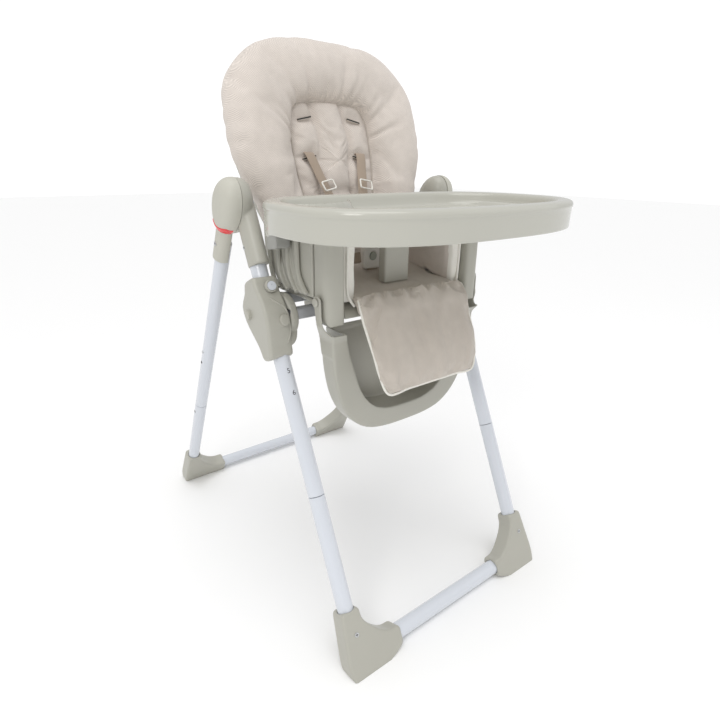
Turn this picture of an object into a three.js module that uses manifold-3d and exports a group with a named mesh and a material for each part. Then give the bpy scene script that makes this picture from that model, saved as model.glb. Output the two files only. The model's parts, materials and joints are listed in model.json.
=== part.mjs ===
// Baby high chair: two U-shaped steel tubes turn on two hubs to make a folding A-frame, and a padded seat
// with a reclining back, a swinging legrest and a sliding tray rides up and down the front tube.
// Millimetres, +Z up. The child faces -Y, its right hand is on the -X side, and the feet stand on z = 0.
// Pieces that come in pairs are drawn on the right-hand (-X) side and mirrored for the left.
import * as THREE from "three";
import { mergeVertices } from "three/addons/utils/BufferGeometryUtils.js";
import Module from "manifold-3d";

const wasm = await Module();
wasm.setup();

// ---- driving dimensions ----
const GAP = 0.4; // between pieces that touch
const HUB_Z = 790; // fold axis above the floor
const FRONT_REACH = 412.6; // hub axis to the front edge of the tray
const REAR_REACH = 440.4; // hub axis to the heel of the rear feet
const HUB_Y = (FRONT_REACH - REAR_REACH) / 2; // centres the whole chair on y = 0
// Each leg tube starts `top` below the hub axis, meets the U-shaped base tube at `joint` and ends at `bar`.
const FRONT = { x: 234, angle: 24.81, top: 26, joint: 543, bar: 848.3, radius: 15, wall: 1.6, bend: 72 };
const REAR = { x: 257, angle: 28, top: 81, joint: 558, bar: 871, radius: 14, wall: 1.5, bend: 72 };
const HUB_RADIUS = 42;
const BOLT_RADIUS = 5;
const HEIGHT_STEP = 40; // between the six height positions down the front leg
const HEIGHT_POSITIONS = 6;
const PIN_S = 225; // lock pin's distance down the leg from the hub
const BAR = 20; // square cross bars
const BARS = { rear: [-48, 619], front: [-112, 606] }; // their centres, y and z
const SEAT_TOP = 757; // top of the side panels and arm columns, just under the tray
const ARM = { inner: 150, outer: 188, front: -202, back: -162, bottom: 594, wall: 4 };
const PANEL = { inner: 180.3, outer: 190 };
const LEGREST_PIVOT = [-180, 640];
const BACK_PIVOT = [36, 620];
const BACK_LEAN = 15;
const TRAY = { half: 284, depth: 176, y: -237, power: 2.7, bottom: 758, top: 806 };

// ---- finishes ----
const FINISH = {
  plastic: { color: 0xc6c5b9, roughness: 0.38, metalness: 0 },
  gloss: { color: 0xd3d2c8, roughness: 0.2, metalness: 0 },
  paint: { color: 0xe4e7ee, roughness: 0.25, metalness: 0 },
  bar: { color: 0xa3a5a8, roughness: 0.4, metalness: 0.3 },
  red: { color: 0xd8262a, roughness: 0.35, metalness: 0 },
  fabric: { color: 0xcfc2b6, roughness: 0.9, metalness: 0 },
  webbing: { color: 0xa99583, roughness: 0.85, metalness: 0 },
  white: { color: 0xf2f1ee, roughness: 0.4, metalness: 0 },
  steel: { color: 0x9fa3a8, roughness: 0.3, metalness: 1 },
};

// ---- shape helpers ----
const v3 = (x, y, z) => new THREE.Vector3(x, y, z);
const rad = THREE.MathUtils.degToRad;
const ALONG_X = new THREE.Matrix4().makeBasis(v3(0, 1, 0), v3(0, 0, 1), v3(1, 0, 0));
const ALONG_Y = new THREE.Matrix4().makeBasis(v3(1, 0, 0), v3(0, 0, 1), v3(0, -1, 0));

// A closed outline through corners [x, y, rounding].
function outline(corners) {
  const shape = new THREE.Shape();
  const at = (i) => corners[(i + corners.length) % corners.length];
  const toward = ([x, y], [a, b], r) => {
    const reach = Math.min(r / Math.hypot(a - x, b - y), 0.48);
    return [x + (a - x) * reach, y + (b - y) * reach];
  };
  corners.forEach((corner, i) => {
    const [x, y, r = 0] = corner;
    const start = toward(corner, at(i - 1), r);
    if (i === 0) shape.moveTo(...start);
    else shape.lineTo(...start);
    if (r > 0) shape.quadraticCurveTo(x, y, ...toward(corner, at(i + 1), r));
  });
  shape.closePath();
  return shape;
}

const box = (x0, y0, x1, y1, r = 0) =>
  outline([[x0, y0, r], [x1, y0, r], [x1, y1, r], [x0, y1, r]]);

// A closed outline that is smooth through half its points and mirrored about x = 0.
function symmetric(half, grow = 0, pieces = 14) {
  const curve = new THREE.SplineCurve(half.map(([x, y]) => new THREE.Vector2(x, y)));
  const right = curve.getSpacedPoints(pieces).map((p, i, all) => {
    const a = all[Math.max(i - 1, 0)];
    const b = all[Math.min(i + 1, all.length - 1)];
    const out = new THREE.Vector2(b.y - a.y, a.x - b.x).normalize();
    return new THREE.Vector2(Math.max(p.x + out.x * grow, 0), p.y + out.y * grow);
  });
  const left = right.map((p) => new THREE.Vector2(-p.x, p.y)).reverse();
  const all = [...right, ...left];
  return new THREE.Shape(all.filter((p, i) => p.distanceTo(all[(i + 1) % all.length]) > 1e-3));
}

function superellipse(half, depth, y, power, count = 40) {
  const points = [];
  for (let i = 0; i < count; i++) {
    const t = ((i + 0.5) / count) * 2 * Math.PI;
    const c = Math.cos(t);
    const s = Math.sin(t);
    const u = half * Math.sign(c) * Math.abs(c) ** (2 / power);
    points.push(new THREE.Vector2(u, y + depth * Math.sign(s) * Math.abs(s) ** (2 / power)));
  }
  return new THREE.Shape(points);
}

const circle = (x, y, r) => new THREE.Shape().absarc(x, y, r, 0, 2 * Math.PI);
const oval = (x, y, a, b) => new THREE.Shape().absellipse(x, y, a, b, 0, 2 * Math.PI);

// An extrusion from one height to another, whose rounded edges stay inside the outline.
function slab(shape, from, to, bevel = 0, curveSegments = 4) {
  return new THREE.ExtrudeGeometry(shape, {
    depth: to - from - 2 * bevel,
    curveSegments,
    bevelEnabled: bevel > 0,
    bevelThickness: bevel,
    bevelSize: bevel,
    bevelOffset: -bevel,
    bevelSegments: 2,
  }).translate(0, 0, from + bevel);
}
// The same, with the outline drawn in (y, z) and extruded along x, or drawn in (x, z) and along y.
const slabX = (shape, x0, x1, ...rest) => slab(shape, x0, x1, ...rest).applyMatrix4(ALONG_X);
const slabY = (shape, y0, y1, ...rest) => slab(shape, -y1, -y0, ...rest).applyMatrix4(ALONG_Y);

// A solid for cutting and joining, turned the right way out.
function solid(shape) {
  if (!(shape instanceof THREE.BufferGeometry)) return shape;
  const bare = shape.clone();
  bare.deleteAttribute("normal");
  bare.deleteAttribute("uv");
  const merged = mergeVertices(bare, 1e-3);
  const p = merged.attributes.position.array;
  const t = new Uint32Array(merged.index.array);
  let volume = 0;
  for (let i = 0; i < t.length; i += 3) {
    const [a, b, c] = [t[i], t[i + 1], t[i + 2]].map((k) => v3(p[3 * k], p[3 * k + 1], p[3 * k + 2]));
    volume += a.dot(b.cross(c));
  }
  if (volume < 0) for (let i = 0; i < t.length; i += 3) [t[i], t[i + 1]] = [t[i + 1], t[i]];
  return new wasm.Manifold(new wasm.Mesh({ numProp: 3, vertProperties: p, triVerts: t }));
}
const join = (first, ...others) => others.reduce((all, s) => all.add(solid(s)), solid(first));
const cut = (first, ...others) => others.reduce((all, s) => all.subtract(solid(s)), solid(first));
const common = (first, ...others) => others.reduce((all, s) => all.intersect(solid(s)), solid(first));

function geometryOf(shape) {
  if (shape instanceof THREE.BufferGeometry) return shape;
  const mesh = shape.getMesh();
  const geometry = new THREE.BufferGeometry();
  geometry.setAttribute("position", new THREE.BufferAttribute(mesh.vertProperties, 3));
  geometry.setIndex(new THREE.BufferAttribute(mesh.triVerts, 1));
  geometry.computeVertexNormals();
  return geometry;
}

function piece(name, shape, finish) {
  const mesh = new THREE.Mesh(geometryOf(shape), new THREE.MeshStandardMaterial(FINISH[finish]));
  mesh.name = name;
  return mesh;
}

function pair(name, shape, finish) {
  const right = piece(name + "_right", shape, finish);
  const left = piece(name + "_left", shape, finish);
  left.scale.x = -1;
  return [right, left];
}

// Groups whose local -Z runs down a leg from the hub axis; local -Y faces the front.
function legGroup(angle) {
  const group = new THREE.Group();
  group.position.set(0, 0, HUB_Z);
  group.rotation.x = rad(angle);
  return group;
}

// A U in the leg's plane: down one leg from the joint, round a bend, across the floor and up again.
class BasePath extends THREE.Curve {
  constructor(leg, extra = 0) {
    super();
    this.leg = leg;
    this.start = leg.joint + GAP - extra;
  }

  getPoint(t) {
    const { x, bar, bend } = this.leg;
    const down = bar - bend - this.start;
    const round = (bend * Math.PI) / 2;
    const half = down + round + x - bend;
    const side = t < 0.5 ? -1 : 1;
    const d = half - Math.abs(t - 0.5) * 2 * half;
    if (d < down) return v3(side * x, 0, -(this.start + d));
    if (d > down + round) return v3(side * (x - bend - (d - down - round)), 0, -bar);
    const turn = (d - down) / bend;
    return v3(side * (x - bend * (1 - Math.cos(turn))), 0, -(bar - bend + bend * Math.sin(turn)));
  }
}

function baseTube(leg, radius, sides, steps, extra = 0) {
  const options = { extrudePath: new BasePath(leg, extra), steps, curveSegments: sides / 2 };
  return new THREE.ExtrudeGeometry(circle(0, 0, radius), options);
}

// ---- frame tubes, feet and hubs ----
function legPieces(leg, name) {
  const tube = slab(circle(-leg.x, 0, leg.radius), -leg.joint, -leg.top, 0, 10);
  const inside = slab(circle(-leg.x, 0, leg.radius - leg.wall), -leg.joint - 1, 1 - leg.top, 0, 6);
  const base = cut(baseTube(leg, leg.radius, 16, 40), baseTube(leg, leg.radius - leg.wall, 8, 30, 1));
  return {
    tube: cut(tube, inside),
    base: piece(name + "_base_tube", base, "paint"),
  };
}

// A boot that fills the outer corner of each bend, cut level with the floor.
function foot(leg, group, { top, reach, tip, half }) {
  const { x, bar, radius } = leg;
  const corner = outline([
    [-x + radius + 4, -top, 8],
    [-x - radius - 4, -top, 8],
    [-x - tip, -bar - 4, 14],
    [-x - tip + 8, -bar - 60, 12],
    [-x + 6, -bar - 60, 30],
    [-reach, -bar - radius - 2, 8],
    [-reach, -bar + radius + 4, 8],
    [-x + 64, -bar + radius + 4, 30],
    [-x + radius + 4, -bar + 64, 30],
  ]);
  const boot = slabY(corner, -half, half, 4);
  boot.applyMatrix4(group.matrix);
  const bore = baseTube(leg, radius + 2 * GAP, 12, 40).applyMatrix4(group.matrix);
  const below = slab(box(-leg.x - 90, -600, 0, 600), -120, 0);
  return cut(boot, bore, below);
}

const frontLeg = legGroup(-FRONT.angle);
const rearLeg = legGroup(REAR.angle);
frontLeg.updateMatrix();
rearLeg.updateMatrix();

const frontParts = legPieces(FRONT, "front");
const pinHoles = [];
for (let i = 0; i < HEIGHT_POSITIONS; i++) {
  const hole = slabY(circle(-FRONT.x, -PIN_S - i * HEIGHT_STEP, 4.2), 5, 20, 0, 3);
  pinHoles.push(hole);
}
const frontHub = cut(
  join(
    slabX(circle(0, 0, HUB_RADIUS), -251.5, -218, 4, 9),
    slab(oval(-FRONT.x, 0, 17.4, 21), -114, -4, 2, 8),
  ),
  slab(circle(-FRONT.x, 0, FRONT.radius + GAP), -120, GAP - FRONT.top, 0, 10),
  slabX(circle(0, 0, BOLT_RADIUS + GAP), -260, -200, 0, 6),
);
frontLeg.add(
  frontParts.base,
  ...pair("front_leg_tube", cut(frontParts.tube, ...pinHoles), "paint"),
  ...pair("front_hub", frontHub, "plastic"),
);

const rearParts = legPieces(REAR, "rear");
const sleeve = slab(circle(-REAR.x, 0, 18.6), -117, -8, 2, 9);
// The rear sleeve is flat on its inner side, where it folds past the front sleeve.
const rearHub = cut(
  join(slabX(circle(0, 0, 29), -273, -252.4, 2, 9), sleeve),
  slabX(box(-60, -130, 60, 60), -252.4, -200),
  slab(circle(-REAR.x, 0, REAR.radius + GAP), -120, GAP - REAR.top, 0, 10),
  slabX(circle(0, 0, BOLT_RADIUS + GAP), -280, -200, 0, 6),
);
const CAP = { a: 35, b: 49, wall: 3.2, outer: 293, inner: 255.5 };
const BUTTON = { a: 29.5, b: 51, top: -35, outer: 290, inner: 277.5 };
const buttonOval = (grow) => slabX(oval(0, 0, BUTTON.a + grow, BUTTON.b + grow),
  -BUTTON.outer - grow, -BUTTON.inner + grow, 4, 10);
const belowButton = (grow) => slabX(box(-60, -80, 60, BUTTON.top + grow), -320, -200);
const foldButton = common(buttonOval(0), belowButton(0));
const hubCap = cut(
  slabX(oval(0, 0, CAP.a, CAP.b), -CAP.outer, -CAP.inner, 9, 10),
  slabX(oval(0, 0, CAP.a - CAP.wall, CAP.b - CAP.wall), -CAP.outer + CAP.wall, -250, 7, 10),
  slab(circle(-REAR.x, 0, 19.2), -120, -30, 0, 9),
  common(buttonOval(1), belowButton(3)),
  slabX(box(-23, -80, 23, BUTTON.top + 2), -320, -BUTTON.inner + 1),
);
const turned = (profile, x) =>
  new THREE.LatheGeometry(profile.map(([r, h]) => new THREE.Vector2(r, h)), 12)
    .rotateZ(-Math.PI / 2)
    .translate(x, 0, 0);
const bolt = turned([[0, 0], [8, 0], [8, 2.6], [BOLT_RADIUS, 2.6], [BOLT_RADIUS, 59.9], [9, 59.9],
  [9, 61], [8, 61.6], [0, 61.6]], -276);
frontLeg.add(...pair("hub_bolt", bolt, "steel"));
rearLeg.add(
  rearParts.base,
  ...pair("rear_leg_tube", rearParts.tube, "paint"),
  ...pair("rear_hub", rearHub, "plastic"),
  ...pair("hub_cap", hubCap, "plastic"),
  ...pair("fold_button", foldButton, "red"),
);

const frontFoot = foot(FRONT, frontLeg, { top: 756, reach: 140, tip: 29, half: 19 });
const rearFoot = foot(REAR, rearLeg, { top: 777, reach: 160, tip: 22, half: 18 });

// ---- height carriages: two half housings on each front leg, a sprung red latch and its lock pin ----
const down = (corners) => outline(corners.map(([v, s, r]) => [-v, -s, r]));
const carriageSide = [
  [-20, 138, 10], [22, 138, 10], [25, 168, 14], [36, 196, 14], [35, 228, 14],
  [21, 266, 10], [18, 287, 10], [-19, 287, 10], [-22, 262, 12], [-52, 206, 16], [-54, 172, 16], [-26, 156, 12],
];
const innerSide = [
  [-40, 158, 10], [20, 172, 14], [40, 196, 16], [38, 232, 16], [14, 250, 12], [-20, 240, 12], [-44, 196, 14],
];
// The bars are level with the floor and the carriages lean with the leg, so their sockets are turned back.
const atBar = ([y, z], grow, x0, x1) => {
  const hole = slabX(box(y - grow, z - HUB_Z - grow, y + grow, z - HUB_Z + grow), x0, x1);
  return hole.applyMatrix4(new THREE.Matrix4().makeRotationX(rad(FRONT.angle)));
};
const bore = slab(circle(-FRONT.x, 0, FRONT.radius + 2 * GAP), -400, 0, 0, 8);
const hollowSide = carriageSide.map(([v, s, r]) => [v * 0.86, 212 + (s - 212) * 0.93, r]);
const carriageOuter = cut(
  slabX(down(carriageSide), -262, -215.3, 5, 2),
  cut(slabX(down(hollowSide), -257, -210, 0, 2), slab(circle(-FRONT.x, 0, 20), -400, 0, 0, 8)),
  bore,
  slabY(circle(-FRONT.x, -163, 8.5), -60, 0, 0, 6),
  slab(box(-256, 14, -236, 80), -248, -202),
);
const carriageInner = cut(
  slabX(down(innerSide), -214.9, -198, 4, 3),
  bore,
  atBar(BARS.front, BAR / 2 + GAP, -220, -190),
  atBar(BARS.rear, BAR / 2 + GAP, -220, -190),
);
const latch = slabX(down([[-28, 208, 5], [-28, 242, 5], [-44, 240, 8], [-58, 214, 6], [-54, 206, 6]]),
  -252, -240, 1.5, 3);
const pin = slab(circle(0, 0, 3.2), 0, 12, 0, 3);
pin.rotateX(-Math.PI / 2).translate(-246, 15.6, -PIN_S);
const pinReach = common(pin, slab(box(-260, 15.8, -230, 27.6), -300, -200));
frontLeg.add(
  ...pair("carriage_outer", carriageOuter, "plastic"),
  ...pair("carriage_inner", carriageInner, "plastic"),
  ...pair("height_latch", latch, "red"),
  ...pair("height_pin", pinReach, "steel"),
);

// ---- seat: cross bars, base, side panels, arm columns and cushions ----
const chair = new THREE.Group();
chair.position.y = HUB_Y;
chair.add(frontLeg, rearLeg);
chair.add(...pair("front_foot", frontFoot, "plastic"));
chair.add(...pair("rear_foot", rearFoot, "plastic"));

const crossBar = ([y, z], grow = 0) => {
  const half = BAR / 2 + grow;
  return box(y - half, z - half, y + half, z + half, 2);
};
for (const [name, at] of Object.entries(BARS)) {
  chair.add(piece("cross_bar_" + name, slabX(crossBar(at), -211, 211, 0, 1), "bar"));
}

const panProfile = outline([
  [20, 630], [20, 642, 4], [-100, 642, 20], [-158, 635, 20], [-192, 617, 12], [-196, 604, 3],
  [-189, 606, 3], [-186, 611, 8], [-154, 626, 20], [-98, 630.5, 10],
]);
const panSides = outline([[20, 630.5], [20, 641], [-100, 641], [-156, 634.5], [-156, 627], [-98, 630.5]]);
const saddle = (side) => slabX(box(-128, 592, -32, 632, 6), side * 122 - 9, side * 122 + 9);
const ear = (x) => slabX(
  outline([[4, 641], [4, 630], [30, 608, 10], [48, 612, 10], [46, 630, 10], [20, 641]]), x - 5, x + 5);
const axleBore = slabX(circle(...BACK_PIVOT, BOLT_RADIUS + GAP), -160, 160, 0, 5);
const seatBase = cut(
  join(slabX(panProfile, -147, 147, 0, 3), slabX(panSides, -179.6, 179.6), saddle(-1), saddle(1),
    ear(-106), ear(106)),
  slabX(crossBar(BARS.front, GAP), -160, 160, 0, 1),
  slabX(crossBar(BARS.rear, GAP), -160, 160, 0, 1),
  axleBore,
  slab(box(-18, -90, 18, -82), 600, 700),
);
chair.add(piece("seat_base", seatBase, "plastic"));
const axle = turned([[0, 0], [BOLT_RADIUS, 0], [BOLT_RADIUS, 240], [0, 240]], -120);
axle.translate(0, ...BACK_PIVOT);
chair.add(piece("recline_axle", axle, "steel"));

// A side panel with a lobe at the back, and four raised ribs that sweep forwards as they go down.
const sidePanel = () => {
  const plate = outline([
    [-160, 642.5, 2], [-74, 642.5, 10], [-62, 650, 4], [-58, 636, 8], [-44, 636, 8], [-38, 652, 10],
    [8, 704, 14], [8, SEAT_TOP, 4], [-160, SEAT_TOP, 2],
  ]);
  const rib = (back) => {
    const line = new THREE.QuadraticBezierCurve(
      new THREE.Vector2(back, 754), new THREE.Vector2(back - 4, 672), new THREE.Vector2(back - 40, 645));
    const edge = line.getPoints(6);
    const other = edge.map((p) => new THREE.Vector2(p.x - 8, p.y + 2)).reverse();
    return slabX(new THREE.Shape([...edge, ...other]), -PANEL.outer - 4, -PANEL.outer + 2);
  };
  const flange = slabX(box(-160, SEAT_TOP - 9, -36, SEAT_TOP), -PANEL.outer, -167);
  const ribs = [-38, -58, -78, -98].map(rib);
  return cut(
    join(slabX(plate, -PANEL.outer, -PANEL.inner, 0, 3), flange, ...ribs),
    slabX(circle(-51, 645, 4), -200, -170, 0, 4),
  );
};
chair.add(...pair("side_panel", sidePanel(), "plastic"));

// A hollow column, open at the back, whose foot is rounded in both directions.
const armColumn = () => {
  const { inner, outer, front, back, bottom, wall } = ARM;
  const plan = outline([[-outer, front, 17], [-inner, front, 9], [-inner, back, 3], [-outer, back, 3]]);
  const above = SEAT_TOP + 3;
  const fromSide = outline([[front - 8, bottom, 26], [-150, bottom, 30], [-150, above], [front - 8, above]]);
  const fromFront = outline([[-outer, bottom, 26], [-inner, bottom, 12], [-inner, above], [-outer, above]]);
  return cut(
    common(
      slab(plan, bottom, SEAT_TOP, 0, 5),
      slabX(fromSide, -200, -140, 0, 5),
      slabY(fromFront, -220, -150, 0, 5),
    ),
    slab(box(-outer + wall, front + wall, -inner - wall, back + 12), bottom + 10, SEAT_TOP - 5),
    slabX(circle(...LEGREST_PIVOT, 4 + GAP), -195, -180, 0, 4),
  );
};
chair.add(...pair("arm_column", armColumn(), "plastic"));

const legrestPin = turned([[0, 0], [6, 0], [8, 1.5], [8, 3.5], [4, 3.5], [4, 19], [0, 19]], -200.6);
legrestPin.translate(0, ...LEGREST_PIVOT);
chair.add(...pair("legrest_pin", legrestPin, "plastic"));

const cushionProfile = outline([
  [6, 644, 4], [6, 654, 5], [-34, 659, 12], [-76, 658, 20], [-130, 647, 20], [-186, 640, 12],
  [-208, 630, 12], [-209, 608, 3], [-200, 606, 3], [-196, 621, 5], [-158, 637.5, 12], [-100, 643.5, 10],
]);
const seatCushion = cut(slabX(cushionProfile, -127, 127, 2, 3), slab(box(-16, -89, 16, -83), 600, 700));
chair.add(piece("seat_cushion", seatCushion, "fabric"));
const wing = outline([
  [-189, 630, 10], [-189, 750, 14], [-60, 750, 20], [-46, 646, 14], [-100, 646, 10], [-156, 639, 10],
]);
chair.add(...pair("side_cushion", slabX(wing, -146.5, -130, 4, 3), "fabric"));

// ---- harness: crotch and waist straps meet in a buckle with a round button ----
const BUCKLE = { y: -81, z: 684, half: 23, high: 22, deep: 7, button: 8.4 };
const BUCKLE_BOTTOM = BUCKLE.z - BUCKLE.high;
const buckleFace = box(-BUCKLE.half, BUCKLE_BOTTOM, BUCKLE.half, BUCKLE.z + BUCKLE.high, 9);
const buckle = cut(
  slabY(buckleFace, BUCKLE.y - BUCKLE.deep, BUCKLE.y + BUCKLE.deep, 3, 3),
  slabY(circle(0, BUCKLE.z + 3, BUCKLE.button + 0.6), BUCKLE.y - 20, BUCKLE.y - 1, 0, 8),
);
const buckleButton = slabY(circle(0, BUCKLE.z + 3, BUCKLE.button), BUCKLE.y - 8.5, BUCKLE.y - 4, 1, 8);
chair.add(piece("buckle", buckle, "white"), piece("buckle_button", buckleButton, "plastic"));
chair.add(piece("crotch_strap", slab(box(-14, -88, 14, -84.5), 643, BUCKLE_BOTTOM - GAP), "webbing"));

// A flat strap between two points, its width across the seat.
function strap(from, to, width, thick) {
  const run = v3(...to).sub(v3(...from));
  const length = run.length();
  const group = new THREE.Matrix4().lookAt(v3(...to), v3(...from), v3(0, 0.3, 1));
  return new THREE.BoxGeometry(width, thick, length)
    .translate(0, 0, length / 2)
    .applyMatrix4(group)
    .translate(...from);
}
const waist = strap([-110, -50, 676], [-27, -80, 684], 2.4, 20);
chair.add(...pair("waist_strap", waist, "webbing"));

// ---- backrest: shell on the recline axle, cushion with a bolster round it, straps, adjusters, lever ----
const back = new THREE.Group();
back.position.set(0, ...BACK_PIVOT);
back.rotation.x = rad(-BACK_LEAN);
back.updateMatrix();
chair.add(back);
const BACK_HALF = [
  [0, 34], [124, 34], [142, 60], [166, 120], [189, 180], [205, 230], [213, 285], [210, 340], [197, 386],
  [171, 416], [133, 437], [72, 450], [0, 453],
];
const CUSHION = { front: -82, panel: -57, back: -16 };
const backOutline = (grow) => symmetric(BACK_HALF, grow, 20);
const panel = symmetric([[0, 20], [64, 20], [76, 60], [79, 200], [78, 310], [64, 345], [0, 356]], 0, 12);
const backCushion = cut(
  slabY(backOutline(0), CUSHION.front, CUSHION.back, 10),
  slabY(panel, CUSHION.front - 20, CUSHION.panel, 0),
);
const hingeEar = outline([[-14, 50], [-14, -6, 6], [0, -12, 10], [14, 0, 10], [9, 50]]);
const backShell = cut(
  join(
    slabY(backOutline(-14), CUSHION.back + 0.6, 10, 3),
    slabX(hingeEar, -100, -88),
    slabX(hingeEar, 88, 100),
  ),
  slabY(backOutline(-19), -11, 20, 0),
  slabX(circle(0, 0, BOLT_RADIUS + GAP), -130, 130, 0, 5),
);
back.add(piece("back_cushion", backCushion, "fabric"), piece("backrest_shell", backShell, "plastic"));
const lever = slabY(outline([[-34, 372, 6], [34, 372, 6], [28, 404, 12], [-28, 404, 12]]), -10.4, 14, 3, 3);
back.add(piece("recline_lever", lever, "plastic"));

const toBack = new THREE.Matrix4().copy(back.matrix).invert();
const inBack = (p) => v3(...p).applyMatrix4(toBack).toArray();
const STRAP_TOP = inBack([-64, 33, 872]);
const STRAP_END = inBack([-21, -66, 708]);
const shoulder = strap(STRAP_TOP, STRAP_END, 22, 2);
back.add(...pair("shoulder_strap", shoulder, "webbing"));
const adjusterAt = v3(...STRAP_TOP).lerp(v3(...STRAP_END), 0.34).toArray();
const adjusterTo = v3(...STRAP_TOP).lerp(v3(...STRAP_END), 0.42).toArray();
const adjuster = cut(strap(adjusterAt, adjusterTo, 30, 7), strap(STRAP_TOP, STRAP_END, 23, 3));
back.add(...pair("strap_adjuster", adjuster, "white"));

// ---- legrest: a scoop with side arms on the columns, and the padded flap in front of it ----
const SCOOP_HALF = [
  [0, 369], [60, 371], [110, 382], [150, 410], [176, 451], [190, 500], [196.5, 560], [196.5, 584], [196.5, 586],
];
const HOLLOW_HALF = [[0, 408], [50, 410], [92, 425], [124, 460], [144, 510], [160, 560], [164, 610]];
const LEGREST_ARM = { outer: 196.5, thick: 4.2 };
const scoop = (grow) => symmetric(SCOOP_HALF, grow, 22);
const hollow = (grow) => symmetric(HOLLOW_HALF, grow, 14);
const armSide = outline([
  [-169, 651, 10], [-191, 651, 10], [-194, 596, 14], [-226, 582, 4], [-226, 540], [-190, 540], [-178, 600, 30],
]);
const legrestArm = (x) => slabX(armSide, x, x + LEGREST_ARM.thick, 0, 4);
const legrest = cut(
  join(
    slabY(scoop(0), -228, -188, 4),
    slabY(hollow(4), -222, -164, 0),
    legrestArm(-LEGREST_ARM.outer),
    legrestArm(LEGREST_ARM.outer - LEGREST_ARM.thick),
  ),
  cut(slabY(scoop(-4), -223.5, -180), slabY(hollow(4), -230, -160)),
  slabY(hollow(0), -240, -168),
  slab(box(-191.8, -260, 191.8, -100), 584, 700),
  slabX(circle(...LEGREST_PIVOT, 4 + GAP), -230, 230, 0, 4),
);
chair.add(piece("legrest_scoop", legrest, "plastic"));
const flap = slabY(outline([[-126, 0, 8], [-108, -148, 16], [108, -148, 16], [126, 0, 8]]), -7, 7, 5, 3);
flap.rotateX(rad(-25)).translate(0, -217, 606);
chair.add(piece("legrest_flap", flap, "fabric"));

// ---- tray: rimmed basin with a cup recess, the post between the child's legs, and two side latches ----
const trayOutline = (inset) =>
  superellipse(TRAY.half - inset, TRAY.depth - inset, TRAY.y, TRAY.power, inset > 12 ? 32 : 40);
const CUP = { x: -190, y: -175, r: 42 };
const TRAY_FLOOR = { low: 773, high: 780 };
const tray = cut(
  common(slab(trayOutline(0), TRAY.bottom - 20, TRAY.top, 8), slab(trayOutline(-10), TRAY.bottom, TRAY.top)),
  slab(trayOutline(28), TRAY_FLOOR.high, 900),
  slab(trayOutline(5), 700, TRAY_FLOOR.low),
  cut(slab(trayOutline(5), 700, 800), slab(trayOutline(23), 690, 810)),
);
const cup = slab(circle(CUP.x, CUP.y, CUP.r), 770, 781, 0, 12);
const cupHollow = slab(circle(CUP.x, CUP.y, CUP.r - 4), 774, 900, 0, 12);
chair.add(piece("tray", cut(join(tray, cup), cupHollow), "gloss"));
const post = cut(
  slab(box(-30, -162, 30, -140, 5), 649, TRAY_FLOOR.low - GAP),
  slab(box(-26, -158, 26, -144), 653, 780),
);
chair.add(piece("crotch_post", post, "plastic"));
const trayLatchSide = outline([[-104, 757.6], [-104, 722, 6], [-70, 716, 6], [-70, 757.6]]);
const trayLatch = slabX(trayLatchSide, -226, -198, 0, 3);
chair.add(...pair("tray_latch", trayLatch, "bar"));

export default chair;
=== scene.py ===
"""Looks of a folding baby high chair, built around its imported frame.

Metres, +Z up. The child faces -Y and its right hand is on the -X side. Pieces that come in pairs are made on
the right-hand (-X) side and mirrored. Leg pieces are placed by how far they are down the leg from the hubs.
"""

import json
import math

import bmesh
import bpy
from bpy.props import FloatProperty, FloatVectorProperty, IntProperty, PointerProperty
from bpy.types import Operator, Panel, PropertyGroup
from mathutils import Matrix, Vector, noise
from mathutils.bvhtree import BVHTree


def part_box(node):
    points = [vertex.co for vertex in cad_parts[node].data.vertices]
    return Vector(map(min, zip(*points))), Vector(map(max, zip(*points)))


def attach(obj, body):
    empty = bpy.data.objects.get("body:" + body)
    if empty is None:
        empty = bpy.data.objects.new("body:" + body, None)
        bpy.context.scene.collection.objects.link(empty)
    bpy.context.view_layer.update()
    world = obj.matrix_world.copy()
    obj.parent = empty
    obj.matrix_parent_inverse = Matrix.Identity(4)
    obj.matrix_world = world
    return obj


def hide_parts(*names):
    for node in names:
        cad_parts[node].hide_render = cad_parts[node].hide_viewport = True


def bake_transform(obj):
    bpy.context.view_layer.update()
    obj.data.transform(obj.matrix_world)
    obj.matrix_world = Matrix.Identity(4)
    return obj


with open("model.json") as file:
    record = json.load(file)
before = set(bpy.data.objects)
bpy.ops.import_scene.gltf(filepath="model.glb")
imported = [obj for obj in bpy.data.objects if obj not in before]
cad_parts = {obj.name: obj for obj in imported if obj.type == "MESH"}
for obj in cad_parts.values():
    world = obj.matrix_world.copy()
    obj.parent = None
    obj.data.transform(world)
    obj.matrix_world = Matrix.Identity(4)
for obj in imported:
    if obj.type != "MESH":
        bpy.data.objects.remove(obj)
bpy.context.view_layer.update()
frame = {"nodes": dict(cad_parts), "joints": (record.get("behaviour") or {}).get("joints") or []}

bl_info = {
    "name": "Baby High Chair",
    "version": (1, 0, 0),
    "blender": (4, 5, 0),
    "location": "3D Viewport > Sidebar > High Chair",
    "description": "Builds the cushions, tubes, mouldings and studio of a folding baby high chair",
    "category": "Add Mesh",
}

JOINTS = {joint["name"]: joint for joint in frame["joints"]}
HUB = Vector(JOINTS["frame_fold"]["pos_m"])
FRONT_DOWN = Vector(JOINTS["seat_height"]["axis"]).normalized()
REAR_DOWN = -Vector(JOINTS["fold_button_right_press"]["axis"]).normalized()
BACK_PIVOT = Vector(JOINTS["backrest_recline"]["pos_m"])
BACK_UP = Vector(JOINTS["recline_lever_pull"]["axis"]).normalized()
BACK_BEHIND = Vector((0, BACK_UP.z, -BACK_UP.y))
ACROSS = Vector((1, 0, 0))
MM = 0.001


# ---- sizes and colours a user would change ----


def length(name, description, default):
    return FloatProperty(name=name, description=description, default=default, unit="LENGTH", precision=4)


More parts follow.
